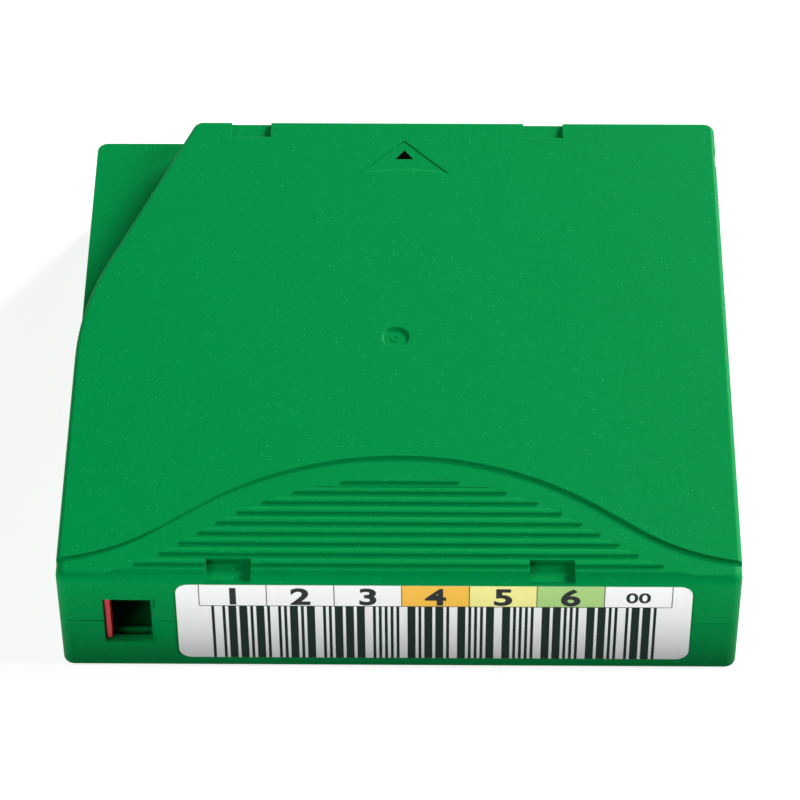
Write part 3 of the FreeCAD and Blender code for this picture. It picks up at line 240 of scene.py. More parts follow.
@dataclass(frozen=True)
class Finish:
    """A surface made by one process from one material.

    The base class gives an even, slightly clouded surface with a fine relief. Its roughness runs from
    `smoother` below the mean, but never under `smoothest`, to `rougher` above it.
    """

    name: str
    colour: str
    roughness: float = 0.5
    ior: float = 1.5
    metallic: float = 0.0
    specular: float = 0.5
    specular_tint: str = "#FFFFFF"
    clouding: float = 0.06
    cloud_mm: float = 3.0
    grain_mm: float = 0.3
    relief: float = 0.1
    relief_mm: float = 0.02
    smoother: float = 0.04
    rougher: float = 0.04
    smoothest: float = 0.02

    def build(self) -> bpy.types.Material:
        """Makes the material, or finds the one already made.

        Returns:
            The material.
        """
        known = bpy.data.materials.get(self.name)
        if known is not None:
            return known
        material = bpy.data.materials.new(self.name)
        material.use_nodes = True
        material.node_tree.nodes.clear()
        surface = self.surface(material.node_tree)
        add_node(material.node_tree, "ShaderNodeOutputMaterial", {"Surface": surface})
        return material

    def surface(self, tree: bpy.types.NodeTree) -> bpy.types.NodeSocket:
        """Makes the shader.

        Args:
            tree: tree of the material.

        Returns:
            The shader's output.
        """
        place = add_node(tree, "ShaderNodeTexCoord").outputs["Object"]
        shader = add_node(tree, "ShaderNodeBsdfPrincipled", {
            "Base Color": self.paint(tree, place),
            "Roughness": self.polish(tree, place),
            "Normal": self.texture(tree, place),
            "Metallic": self.metallic,
            "IOR": self.ior,
            "Specular IOR Level": self.specular,
            "Specular Tint": linear(self.specular_tint),
        })
        return shader.outputs["BSDF"]

    def shade(self, share: float) -> tuple[float, float, float, float]:
        """Gives the finish's colour, made lighter or darker by a share."""
        red, green, blue, alpha = linear(self.colour)
        return red * (1 + share), green * (1 + share), blue * (1 + share), alpha

    def unevenness(self, tree: bpy.types.NodeTree, place: bpy.types.NodeSocket) -> bpy.types.NodeSocket:
        """Gives the pattern in which the polish varies."""
        return add_node(tree, "ShaderNodeTexNoise", patches(place, self.cloud_mm / 2)).outputs["Fac"]

    def grain(self, tree: bpy.types.NodeTree, place: bpy.types.NodeSocket) -> bpy.types.NodeSocket:
        """Gives the height of the relief."""
        return add_node(tree, "ShaderNodeTexNoise", patches(place, self.grain_mm)).outputs["Fac"]

    def paint(self, tree: bpy.types.NodeTree, place: bpy.types.NodeSocket) -> bpy.types.NodeSocket:
        """Clouds the colour a little lighter and darker.

        Args:
            tree: tree of the material.
            place: coordinates to read.

        Returns:
            The base colour.
        """
        cloud = add_node(tree, "ShaderNodeTexNoise", patches(place, self.cloud_mm))
        blend = add_node(tree, "ShaderNodeMix", {
            0: cloud.outputs["Fac"],
            6: self.shade(-self.clouding),
            7: self.shade(self.clouding)}, data_type="RGBA")
        return blend.outputs[2]

    def polish(self, tree: bpy.types.NodeTree, place: bpy.types.NodeSocket) -> bpy.types.NodeSocket:
        """Makes the roughness a little uneven.

        Args:
            tree: tree of the material.
            place: coordinates to read.

        Returns:
            The roughness.
        """
        spread = add_node(tree, "ShaderNodeMapRange", {
            "Value": self.unevenness(tree, place),
            "To Min": max(self.roughness - self.smoother, self.smoothest),
            "To Max": min(self.roughness + self.rougher, 1.0)})
        return spread.outputs["Result"]

    def texture(self, tree: bpy.types.NodeTree, place: bpy.types.NodeSocket) -> bpy.types.NodeSocket:
        """Gives the surface its fine relief.

        Args:
            tree: tree of the material.
            place: coordinates to read.

        Returns:
            The normal.
        """
        bump = add_node(tree, "ShaderNodeBump", {
            "Strength": self.relief,
            "Distance": self.relief_mm * MM,
            "Height": self.grain(tree, place)})
        return bump.outputs["Normal"]


@dataclass(frozen=True)
class SparkErodedPlastic(Finish):
    """Polycarbonate blend moulded in a spark-eroded tool: a dense even grain with small pale flecks painted
    as glints.

    Real glints are finer than these, which are drawn coarse enough to show.
    """

    painted_glint_colour: str = "#25AE68"
    fleck_pitch_mm: float = 0.75
    fleck_share: float = 0.22
    fleck_core: float = 0.10
    fleck_rim: float = 0.20
    fleck_strength: float = 0.75
    grain_contrast: float = 0.07
    grain_low: float = 0.3
    grain_high: float = 0.7
    grain_layers: float = 3.0

    def paint(self, tree: bpy.types.NodeTree, place: bpy.types.NodeSocket) -> bpy.types.NodeSocket:
        """Adds the grain and the painted glints, pale flecks where grains catch the light, to the clouded
        colour.

        Args:
            tree: tree of the material.
            place: coordinates to read.

        Returns:
            The base colour.
        """
        noise = add_node(tree, "ShaderNodeTexNoise", patches(place, self.grain_mm, self.grain_layers))
        grain = add_node(tree, "ShaderNodeMapRange", {
            "Value": noise.outputs["Fac"],
            "From Min": self.grain_low,
            "From Max": self.grain_high,
            "To Min": 1 - self.grain_contrast,
            "To Max": 1 + self.grain_contrast})
        grained = add_node(tree, "ShaderNodeVectorMath", {
            0: super().paint(tree, place), "Scale": grain.outputs[0]}, operation="SCALE")
        # Pale flecks: painted glints where grains catch the light
        cells = add_node(tree, "ShaderNodeTexVoronoi", {
            "Vector": place, "Scale": 1 / (self.fleck_pitch_mm * MM), "Randomness": 1.0})
        lot = add_node(tree, "ShaderNodeSeparateColor", {"Color": cells.outputs["Color"]})
        spot = add_node(tree, "ShaderNodeMapRange", {
            "Value": cells.outputs["Distance"],
            "From Min": self.fleck_core,
            "From Max": self.fleck_rim,
            "To Min": self.fleck_strength,
            "To Max": 0.0})
        weight = work_out(tree, {"lot": lot.outputs[0], "spot": spot.outputs[0]}, [
            ("chosen", "GREATER_THAN", "lot", 1 - self.fleck_share),
            ("weight", "MULTIPLY", "chosen", "spot"),
        ])["weight"]
        blend = add_node(tree, "ShaderNodeMix", {
            0: weight,
            6: grained.outputs[0],
            7: linear(self.painted_glint_colour)}, data_type="RGBA")
        return blend.outputs[2]


class Lay(Enum):
    """Which way a metal's working marks run."""

    ROUND_REEL = "round the reel's axis"
    ALONG_Z = "up and down"


@dataclass(frozen=True)
class WorkedMetal(Finish):
    """Steel with fine marks from drawing, turning or rolling, which stretch its highlights."""

    metallic: float = 1.0
    relief_mm: float = 0.01
    smoother: float = 0.1
    rougher: float = 0.12
    smoothest: float = 0.05
    lay: Lay = Lay.ALONG_Z
    mark_mm: float = 0.15
    mark_layers: float = 4.0
    mark_stretch: float = 0.02

    def marks(self, tree: bpy.types.NodeTree, place: bpy.types.NodeSocket) -> bpy.types.NodeSocket:
        """Draws a noise out along the working marks.

        Args:
            tree: tree of the material.
            place: coordinates to read.

        Returns:
            The noise's value.
        """
        if self.lay is Lay.ROUND_REEL:
            run = reel_radius(tree, place)
        else:
            run = add_node(tree, "ShaderNodeVectorMath", {0: place, 1: (1, 1, self.mark_stretch)},
                           operation="MULTIPLY").outputs[0]
        noise = add_node(tree, "ShaderNodeTexNoise", patches(run, self.mark_mm, self.mark_layers))
        return noise.outputs["Fac"]

    def unevenness(self, tree: bpy.types.NodeTree, place: bpy.types.NodeSocket) -> bpy.types.NodeSocket:
        """Gives the marks as the pattern in which the polish varies."""
        return self.marks(tree, place)

    def grain(self, tree: bpy.types.NodeTree, place: bpy.types.NodeSocket) -> bpy.types.NodeSocket:
        """Gives the marks as the height of the relief."""
        return self.marks(tree, place)


@dataclass(frozen=True)
class WoundTape(Finish):
    """Magnetic tape on edge: turns far too fine to see, drawn coarse enough to show as faint rings."""

    ring_mm: float = 0.45
    ring_layers: float = 4.0
    darker: float = 0.4
    lighter: float = 0.6

    def paint(self, tree: bpy.types.NodeTree, place: bpy.types.NodeSocket) -> bpy.types.NodeSocket:
        """Draws dark and slightly lighter rings round the reel's axis.

        Args:
            tree: tree of the material.
            place: coordinates to read.

        Returns:
            The base colour.
        """
        rings = patches(reel_radius(tree, place), self.ring_mm, self.ring_layers)
        blend = add_node(tree, "ShaderNodeMix", {
            0: add_node(tree, "ShaderNodeTexNoise", rings).outputs["Fac"],
            6: self.shade(-self.darker),
            7: self.shade(self.lighter)}, data_type="RGBA")
        return blend.outputs[2]


@dataclass(frozen=True)
class AerialBoard(Finish):
    """Solder-masked circuit board whose copper loops show through as paler bands."""

    copper: str = "#6E8F3A"
    loop_mm: float = 1.1
    copper_share: float = 0.45

    def paint(self, tree: bpy.types.NodeTree, place: bpy.types.NodeSocket) -> bpy.types.NodeSocket:
        """Lays a band of copper along every loop of the aerial.

        Args:
            tree: tree of the material.
            place: coordinates to read.

        Returns:
            The base colour.
        """
        low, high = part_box("memory_board")
        straight = (high.x - low.x) / 2 - (high.z - low.z) / 2
        to_centre = tuple(-middle("memory_board"))
        centred = add_node(tree, "ShaderNodeMapping", {"Vector": place, "Location": to_centre})
        split = add_node(tree, "ShaderNodeSeparateXYZ", {"Vector": centred.outputs[0]})
        track = work_out(tree, {"x": split.outputs[0], "z": split.outputs[2]}, [
            ("across", "ABSOLUTE", "x"),
            ("along", "ABSOLUTE", "z"),
            ("past straight", "SUBTRACT", "across", straight),
            ("from middle", "MAXIMUM", "past straight", "along"),
            ("loops", "DIVIDE", "from middle", self.loop_mm * MM),
            ("phase", "FRACT", "loops"),
            ("track", "LESS_THAN", "phase", self.copper_share),
        ])["track"]
        blend = add_node(tree, "ShaderNodeMix", {
            0: track,
            6: linear(self.colour),
            7: linear(self.copper)}, data_type="RGBA")
        return blend.outputs[2]


@dataclass(frozen=True)
class StudioFloor(Finish):
    """Pale paper sweep: it looks white and keeps the shadow; the light it throws back carries painted shade,
    darker close to the case.
    """

    lift: float = 0.74
    painted_shade_bounce: float = 0.05
    far_bounce: float = 0.9
    painted_shade_full_mm: float = 3.0
    painted_shade_end_mm: float = 32.0

    def bounce(self, tree: bpy.types.NodeTree) -> bpy.types.NodeSocket:
        """Works out the share of light thrown back, with painted shade that makes it small close to the case
        and fades out with the distance.

        Args:
            tree: tree of the material.

        Returns:
            The share.
        """
        place = add_node(tree, "ShaderNodeTexCoord").outputs["Object"]
        half = (CAD_BOX[1] - CAD_BOX[0]) / 2
        size = add_node(tree, "ShaderNodeVectorMath", {0: place}, operation="ABSOLUTE")
        past = add_node(tree, "ShaderNodeVectorMath", {
            0: size.outputs[0], 1: (half.x, half.y, 0)}, operation="SUBTRACT")
        split = add_node(tree, "ShaderNodeSeparateXYZ", {"Vector": past.outputs[0]})
        away = add_node(tree, "ShaderNodeMath", {
            0: split.outputs[0], 1: split.outputs[1]}, operation="MAXIMUM")
        # Painted shade: the bounce is darkest close to the case and grows to the paper's own with the
        # distance
        spread = add_node(tree, "ShaderNodeMapRange", {
            "Value": away.outputs[0],
            "From Min": self.painted_shade_full_mm * MM,
            "From Max": self.painted_shade_end_mm * MM,
            "To Min": self.painted_shade_bounce,
            "To Max": self.far_bounce})
        return spread.outputs["Result"]

    def surface(self, tree: bpy.types.NodeTree) -> bpy.types.NodeSocket:
        """Makes the shader, which differs for the rays that show the floor and those that carry light.

        Args:
            tree: tree of the material.

        Returns:
            The shader's output.
        """
        paper = add_node(tree, "ShaderNodeBsdfDiffuse", {"Color": linear(self.colour)})
        lift = add_node(tree, "ShaderNodeEmission", {"Color": (1, 1, 1, 1), "Strength": self.lift})
        shown = add_node(tree, "ShaderNodeAddShader", {0: paper.outputs[0], 1: lift.outputs[0]})
        # Rays that carry light see the paper with its painted shade close to the case
        thrown = add_node(tree, "ShaderNodeBsdfDiffuse", {"Color": self.bounce(tree)})
        blend = add_node(tree, "ShaderNodeMixShader", {
            0: seen_directly(tree), 1: thrown.outputs[0], 2: shown.outputs[0]})
        return blend.outputs[0]


@dataclass(frozen=True)
class Palette:
    """Every finish of the cartridge."""

    # Pigmented polycarbonate, spark-eroded: deep green that hardly shines, with pale flecks painted as
    # glints where grains catch the light
    case: Finish = SparkErodedPlastic("spark_eroded_green_polycarbonate", "#008642", 0.5, specular=0.06,
                                      specular_tint="#00FFB0", clouding=0.03, cloud_mm=6.0, grain_mm=0.42,
                                      relief=0.22)
    # Zinc-plated steel: soft grey shine
    screw: Finish = WorkedMetal("zinc_plated_steel", "#B9BBC0", 0.35, mark_mm=0.2, relief=0.1)
    # Cold-drawn spring wire: bright, with fine marks
    wire: Finish = WorkedMetal("drawn_spring_wire", "#C2C3C6", 0.25, mark_mm=0.1, relief=0.1)
    # Rolled stainless strip: even shine, with faint lines
    leaf: Finish = WorkedMetal("rolled_stainless_strip", "#C9C9C7", 0.3, mark_mm=0.2, relief=0.1)
    # Turned stainless pin: bright, with faint lines
    pin: Finish = WorkedMetal("turned_stainless_steel", "#CDCDCB", 0.22, mark_mm=0.12, relief=0.1)
    # Stamped magnetic stainless plate, linished round its axis: highlights fan out from the middle
    chuck: Finish = WorkedMetal("linished_stainless_plate", "#BFC0C2", 0.3, lay=Lay.ROUND_REEL, mark_mm=0.12,
                                relief=0.25)
    # Glass-filled polycarbonate: dark grey, dull, slightly mottled by its fibres
    hub: Finish = Finish("glass_filled_grey_polycarbonate", "#3B3D40", 0.5, clouding=0.12, cloud_mm=1.2,
                         grain_mm=0.2, relief=0.15)
    # Natural polycarbonate disc: pale grey
    flange: Finish = Finish("natural_grey_polycarbonate", "#B8BABA", 0.35, clouding=0.03, relief=0.05)
    # Acetal: off-white, waxy
    pad: Finish = Finish("natural_acetal", "#E4E2DA", 0.35, clouding=0.03, relief=0.05)
    # Black acetal: near black, with a soft shine
    brake: Finish = Finish("black_acetal", "#18191A", 0.4, clouding=0.1, relief=0.08)
    # White acetal: a little darker than the natural one
    clip: Finish = Finish("white_acetal", "#DAD9D3", 0.35, clouding=0.03, relief=0.05)
    # Moulded ABS: strong red
    switch: Finish = Finish("moulded_red_abs", "#C22029", 0.4, clouding=0.04, relief=0.12)
    # Polyester tape with a metal-particle coat: near black and glossy
    tape: Finish = WoundTape("metal_particle_tape", "#1E1917", 0.25, relief=0.03)
    # Coated label film: white, satin
    label: Finish = Finish("coated_label_film", "#FAFCFB", 0.45, specular=0.3, clouding=0.01, relief=0.03)
    # Thermal-transfer inks on the film: flat dark tints that hardly shine
    bar_ink: Finish = Finish("black_resin_ink", "#061E17", 0.6, specular=0.12, clouding=0.08, cloud_mm=0.6,
                             relief=0.03)
    digit_ink: Finish = Finish("grey_resin_ink", "#262C2B", 0.6, specular=0.12, clouding=0.05, relief=0.03)
    rule_ink: Finish = Finish("dark_grey_ink", "#262C2B", 0.6, specular=0.12, clouding=0.05, relief=0.03)
    # Coloured inks on the film: flat light tints, satin
    orange_ink: Finish = Finish("orange_ink", "#F6BE3C", 0.5, clouding=0.02, relief=0.03)
    yellow_ink: Finish = Finish("pale_yellow_ink", "#F4EF93", 0.5, clouding=0.02, relief=0.03)
    green_ink: Finish = Finish("light_green_ink", "#A6D07A", 0.5, clouding=0.02, relief=0.03)
    # Pad-printed two-part ink on the case: dense black, no shine
    case_ink: Finish = Finish("black_pad_print", "#030404", 0.8, specular=0.0, clouding=0.1, relief=0.05)
    # Solder-masked glass epoxy: dark green, glossy, with paler tracks
    board: Finish = AerialBoard("solder_masked_board", "#14522B", 0.3, clouding=0.02, relief=0.03)
    # Transfer-moulded epoxy: matt black
    chip: Finish = Finish("moulded_epoxy", "#141414", 0.55, clouding=0.1, relief=0.1)
    # Matt paper: a white ground with a soft shadow, and painted shade close to the case in the light it
    # throws back
    floor: Finish = StudioFloor("white_paper_sweep", "#BEBEBE")


PALETTE = Palette()


# Geometry Nodes


class Recipe:
    """Geometry Nodes tree with named sizes, run once to give a plain mesh."""

    def __init__(self, name: str) -> None:
        """Starts a tree.

        Args:
            name: what the tree makes.
        """
        self.tree = bpy.data.node_groups.new(name, "GeometryNodeTree")
        self.tree.interface.new_socket("Geometry", in_out="INPUT", socket_type="NodeSocketGeometry")
        self.tree.interface.new_socket("Geometry", in_out="OUTPUT", socket_type="NodeSocketGeometry")
        self.values: dict[str, object] = {}

    def sizes(self, **values: float | int | tuple) -> bpy.types.Node:
        """Adds the tree's named inputs.

        Args:
            values: each input's name and value; whole numbers become counts, and triples vectors.

        Returns:
            The node whose outputs are the inputs.
        """
        kinds = {float: "NodeSocketFloat", int: "NodeSocketInt", tuple: "NodeSocketVector"}
        for name, value in values.items():
            socket = self.tree.interface.new_socket(name, in_out="INPUT", socket_type=kinds[type(value)])
            self.values[socket.identifier] = value
        return add_node(self.tree, "NodeGroupInput")

    def finish(self, geometry: bpy.types.NodeSocket, material: bpy.types.Material) -> None:
        """Ends the tree.

        Args:
            geometry: what the tree has made.
            material: finish of all its faces.
        """
        real = add_node(self.tree, "GeometryNodeRealizeInstances", {"Geometry": geometry})
        dressed = add_node(self.tree, "GeometryNodeSetMaterial", {
            "Geometry": real.outputs[0], "Material": material})
        add_node(self.tree, "NodeGroupOutput", {0: dressed.outputs[0]})

    def run(self, name: str, seed: bpy.types.Mesh, material: bpy.types.Material) -> bpy.types.Object:
        """Runs the tree on a mesh and keeps the result as a plain mesh.

        Args:
            name: name of the new piece.
            seed: mesh that the tree starts from.
            material: finish that the result's only slot gets.

        Returns:
            The new piece.
        """
        holder = mesh_object(name + "_seed", seed)
        modifier = holder.modifiers.new(name, "NODES")
        modifier.node_group = self.tree
        for identifier, value in self.values.items():
            modifier[identifier] = value
        evaluated = holder.evaluated_get(bpy.context.evaluated_depsgraph_get())
        mesh = bpy.data.meshes.new_from_object(evaluated)
        holder.modifiers.remove(modifier)
        bpy.data.objects.remove(holder)
        mesh.materials.clear()
        mesh.materials.append(material)
        return mesh_object(name, mesh)


@dataclass
class CoilSpring:
    """Compression spring with a closed turn at each end."""

    name: str
    node: str
    joint: str
    start: Vector
    direction: Vector
    length: float
    radius: float
    wire: float
    turns: int
    travel: float
    body: str = "case"
    steps_per_turn: int = 28
    wire_sides: int = 12

    def path(self, recipe: Recipe) -> tuple[bpy.types.NodeSocket, bpy.types.NodeSocket]:
        """Works out the wire's path along Z: a closed turn, the open turns and a closed turn.

        Args:
            recipe: tree that gets the path.

        Returns:
            The path, and the radius of the wire.
        """
        sizes = recipe.sizes(
            Radius=self.radius, Wire=self.wire, Length=self.length, Turns=float(self.turns),
            Points=self.turns * self.steps_per_turn + 1)
        tree = recipe.tree
        line = add_node(tree, "GeometryNodeMeshLine", {"Count": sizes.outputs["Points"]})
        known = {name: sizes.outputs[name] for name in ("Radius", "Wire", "Length", "Turns", "Points")}
        known["index"] = add_node(tree, "GeometryNodeInputIndex").outputs[0]
        sums = work_out(tree, known, [
            ("last point", "SUBTRACT", "Points", 1.0),
            ("share", "DIVIDE", "index", "last point"),
            ("turn", "MULTIPLY", "share", "Turns"),
            ("angle", "MULTIPLY", "turn", 2 * math.pi),
            ("open turns", "SUBTRACT", "Turns", 2.0),
            ("closed height", "MULTIPLY", "Wire", 3.0),
            ("open height", "SUBTRACT", "Length", "closed height"),
            ("pitch", "DIVIDE", "open height", "open turns"),
            ("first turn", "MINIMUM", "turn", 1.0),
            ("past first", "SUBTRACT", "turn", 1.0),
            ("from first", "MAXIMUM", "past first", 0.0),
            ("middle turns", "MINIMUM", "from first", "open turns"),
            ("past middle", "SUBTRACT", "from first", "middle turns"),
            ("end turns", "ADD", "first turn", "past middle"),
            ("end rise", "MULTIPLY", "end turns", "Wire"),
            ("middle rise", "MULTIPLY", "middle turns", "pitch"),
            ("rise", "ADD", "end rise", "middle rise"),
            ("wire radius", "MULTIPLY", "Wire", 0.5),
            ("height", "ADD", "rise", "wire radius"),
            ("cosine", "COSINE", "angle"),
            ("sine", "SINE", "angle"),
            ("x", "MULTIPLY", "cosine", "Radius"),
            ("y", "MULTIPLY", "sine", "Radius"),
        ])
        spot = add_node(tree, "ShaderNodeCombineXYZ", {"X": sums["x"], "Y": sums["y"], "Z": sums["height"]})
        placed = add_node(tree, "GeometryNodeSetPosition", {
            "Geometry": line.outputs[0], "Position": spot.outputs[0]})
        path = add_node(tree, "GeometryNodeMeshToCurve", {"Mesh": placed.outputs[0]})
        return path.outputs[0], sums["wire radius"]

    def recipe(self, material: bpy.types.Material) -> Recipe:
        """Makes the tree that winds the spring along Z.

        Args:
            material: finish of the wire.

        Returns:
            The finished recipe.
        """
        recipe = Recipe(self.name)
        path, wire_radius = self.path(recipe)
        section = add_node(recipe.tree, "GeometryNodeCurvePrimitiveCircle", {
            "Resolution": self.wire_sides, "Radius": wire_radius})
        swept = add_node(recipe.tree, "GeometryNodeCurveToMesh", {
            "Curve": path, "Profile Curve": section.outputs[0], "Fill Caps": True})
        smooth = add_node(recipe.tree, "GeometryNodeSetShadeSmooth", {
            "Geometry": swept.outputs[0], "Shade Smooth": True})
        recipe.finish(smooth.outputs[0], material)
        return recipe

    def build(self) -> bpy.types.Object:
        """Winds the spring and sets it in place.

        Returns:
            The spring.
        """
        material = PALETTE.wire.build()
        spring = self.recipe(material).run(self.name, bpy.data.meshes.new(self.name), material)
        turn = self.direction.to_track_quat("Z", "Y").to_matrix().to_4x4()
        spring.data.transform(Matrix.Translation(self.start) @ turn)
        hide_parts(self.node)
        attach(spring, self.body)
        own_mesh(spring)
        return spring


# Fine forms of the moulded case


def crease(faces: Iterable[bmesh.types.BMFace]) -> None:
    """Keeps the level edges of some faces sharp, so that a narrow slope shows beside broad flats.

    Args:
        faces: faces of the slope.
    """
    for face in faces:
        for edge in face.edges:
            if abs(edge.verts[0].co.z - edge.verts[1].co.z) < SLACK:
                edge.smooth = False


@dataclass(frozen=True)
class GripRibs:
    """Ribs of the grip, whose near walls lean and whose tops fall away from a crest near that wall.

    `first` is how far the nearest rib's far edge lies from the near face, and `crest` is a share of the
    rib's width.
    """

    count: int = 10
    pitch: float = 2.12 * MM
    first: float = 1.7 * MM
    width: float = 1.1 * MM
    height: float = 0.35 * MM
    below_top: float = 0.05 * MM
    chamfer: float = 0.12 * MM
    crest: float = 0.3
    near_fall: float = 0.05 * MM
    far_fall: float = 0.13 * MM
    lean: float = 0.12 * MM
    strips: int = 6

    def fall(self, share: float) -> float:
        """Gives how far a rib's top lies below its crest.

        Args:
            share: place across the rib, 0 at its near edge and 1 at its far edge.

        Returns:
            The fall in metres.
        """
        if share < self.crest:
            return self.near_fall * (1 - share / self.crest) ** 2
        return self.far_fall * ((share - self.crest) / (1 - self.crest)) ** 2

    def cut_top(self, mould: bmesh.types.BMesh, level: float, near: float, far: float) -> None:
        """Cuts a rib's flat top into strips, so that it can be crowned.

        Args:
            mould: mesh of the shell.
            level: height of the top.
            near: place of the rib's near edge.
            far: place of the rib's far edge.
        """
        flat = [face for face in mould.faces if face.normal.z > LEVEL_NORMAL and all(
            abs(vert.co.z - level) < SLACK and near - SLACK < vert.co.y < far for vert in face.verts)]
        for strip in range(1, self.strips):
            place = near + (far - self.chamfer - near) * strip / self.strips
            parts = {part for face in flat for part in (face, *face.edges, *face.verts)}
            cut = bmesh.ops.bisect_plane(mould, geom=list(parts), dist=SLACK / 10, plane_co=(0, place, 0),
                                         plane_no=(0, 1, 0))
            flat = [part for part in cut["geom"] if isinstance(part, bmesh.types.BMFace)]

    def shape(self, mould: bmesh.types.BMesh) -> None:
        """Crowns and leans every rib but the nearest, which runs into the near face.

        Args:
            mould: mesh of the shell.
        """
        level = CAD_BOX[1].z - self.below_top
        for index in range(1, self.count):
            far = CAD_BOX[0].y + self.first + index * self.pitch
            near = far - self.width
            self.cut_top(mould, level, near, far)
            for vert in mould.verts:
                down = level - vert.co.z
                on_top = abs(down) < SLACK or abs(down - self.chamfer) < SLACK
                at_foot = abs(down - self.height) < SLACK
                if on_top and near - SLACK < vert.co.y < far + SLACK:
                    vert.co.z -= self.fall((vert.co.y - near) / (far - near))
                elif at_foot and abs(vert.co.y - near) < SLACK:
                    vert.co.y -= self.lean


@dataclass(frozen=True)
class ArrowRecess:
    """Insertion arrow sunk in the roof, which runs out at its base in a short ramp.

    The arc of its base lies between `base` and `base` plus `sag` from the far face.
    """

    depth: float = 0.15 * MM
    half_width: float = 7.65 * MM
    base: float = 12.0 * MM
    sag: float = 0.9 * MM
    ramp: float = 0.4 * MM
    ramp_fade: float = 0.25

    def shape(self, mould: bmesh.types.BMesh) -> None:
        """Draws the foot of the base wall into a ramp that dies out at the corners.

        Args:
            mould: mesh of the shell.
        """
        level = CAD_BOX[1].z - self.depth
        base = CAD_BOX[1].y - self.base
        for vert in mould.verts:
            share = 1 - abs(vert.co.x) / self.half_width
            in_base = base - self.sag < vert.co.y < base
            if in_base and share > 0 and abs(vert.co.z - level) < SLACK:
                vert.co.y += self.ramp * min(1.0, share / self.ramp_fade)
                crease(face for face in vert.link_faces if face.normal.y > UPRIGHT_NORMAL)


@dataclass(frozen=True)
class BellEdge:
    """Edge of the sunk grip, whose wall leans back instead of standing upright."""

    depth: float = 0.4 * MM
    lean: float = 0.22 * MM

    def shape(self, mould: bmesh.types.BMesh) -> None:
        """Moves the foot of the wall into the grip.

        Args:
            mould: mesh of the shell.
        """
        moves = {}
        for edge in mould.edges:
            foot, head = sorted(edge.verts, key=lambda vert: vert.co.z)
            upright = (head.co - foot.co).xy.length < SLACK
            at_top = abs(head.co.z - CAD_BOX[1].z) < SLACK
            if upright and at_top and abs(head.co.z - foot.co.z - self.depth) < SLACK:
                walls = [face for face in edge.link_faces if abs(face.normal.z) < UPRIGHT_NORMAL]
                outward = sum((face.normal for face in walls), Vector())
                moves[foot] = (outward.normalized() * self.lean, walls)
        for foot, (step, walls) in moves.items():
            foot.co += step
            crease(walls)


# Pieces


@dataclass(frozen=True)
class CasePart:
    """A solid of the cartridge, whose edges may be broken as a real tool leaves them."""

    node: str
    body: str
    slot: str
    finish: Finish
    edge: float = 0.0
    details: tuple[GripRibs | ArrowRecess | BellEdge, ...] = ()
    edge_segments: int = 2
    same_point: float = 0.0005 * MM
    flat_degrees: float = 0.3
    smooth_degrees: float = 50.0
    shortest: float = 0.25 * MM
    blend_depth: float = 1.6 * MM
    blend_drop: float = 2.2 * MM
    grip_depth: float = 25.2 * MM
    grip_drop: float = 0.6 * MM
    along_rib: float = 0.999

    def mark_edges(self, shape: bmesh.types.BMesh) -> None:
        """Gives each sharp outer edge a bevel.

        Left sharp are the inner edges, the shortest ones, those in the round that blends the roof into
        the near face, those at the ends of the grip's ribs, and those already creased.

        Args:
            shape: mesh of the part.
        """
        weight = shape.edges.layers.float.new("bevel_weight_edge")
        near = CAD_BOX[0].y + self.blend_depth
        low = CAD_BOX[1].z - self.blend_drop
        grip = CAD_BOX[0].y + self.grip_depth
        grip_low = CAD_BOX[1].z - self.grip_drop
        for edge in shape.edges:
            if len(edge.link_faces) != 2 or edge.calc_face_angle() < math.radians(self.smooth_degrees):
                continue
            run = edge.verts[1].co - edge.verts[0].co
            in_blend = all(vert.co.y < near and vert.co.z > low for vert in edge.verts)
            in_grip = all(vert.co.y < grip and vert.co.z > grip_low for vert in edge.verts)
            at_rib_end = in_grip and abs(run.x) < self.along_rib * run.length
            too_short = run.length < self.shortest
            if in_blend or at_rib_end or too_short or not edge.smooth or not edge.is_convex:
                edge.smooth = False
            else:
                edge[weight] = 1.0

    def mould(self, solid: bpy.types.Mesh) -> bmesh.types.BMesh:
        """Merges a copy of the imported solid, gives it its fine forms and marks its edges.

        Args:
            solid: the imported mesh, which is left alone.

        Returns:
            The new shape.
        """
        shape = bmesh.new()
        shape.from_mesh(solid)
        bmesh.ops.remove_doubles(shape, verts=shape.verts, dist=self.same_point)
        bmesh.ops.dissolve_limit(shape, angle_limit=math.radians(self.flat_degrees), verts=shape.verts,
                                 edges=shape.edges)
        for face in shape.faces:
            face.smooth = True
        for detail in self.details:
            detail.shape(shape)
        self.mark_edges(shape)
        return shape

    def build(self) -> bpy.types.Object:
        """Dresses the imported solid, or a merged copy of it where its edges are broken.

        Returns:
            The shown piece.
        """
        solid = frame["nodes"][self.node]
        material = self.finish.build()
        if not self.edge:
            solid.data.materials.clear()
            solid.data.materials.append(material)
            return solid
        piece = shape_object(self.node + "_moulded", self.mould(solid.data), material)
        bevel = piece.modifiers.new("broken_edge", "BEVEL")
        bevel.width = self.edge
        bevel.segments = self.edge_segments
        bevel.limit_method = "WEIGHT"
        bevel.use_clamp_overlap = False
        bevel.harden_normals = False
        level = piece.modifiers.new("level_faces", "WEIGHTED_NORMAL")
        level.mode = "FACE_AREA"
        level.weight = 100
        level.keep_sharp = True
        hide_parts(self.node)
        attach(piece, self.body)
        return piece


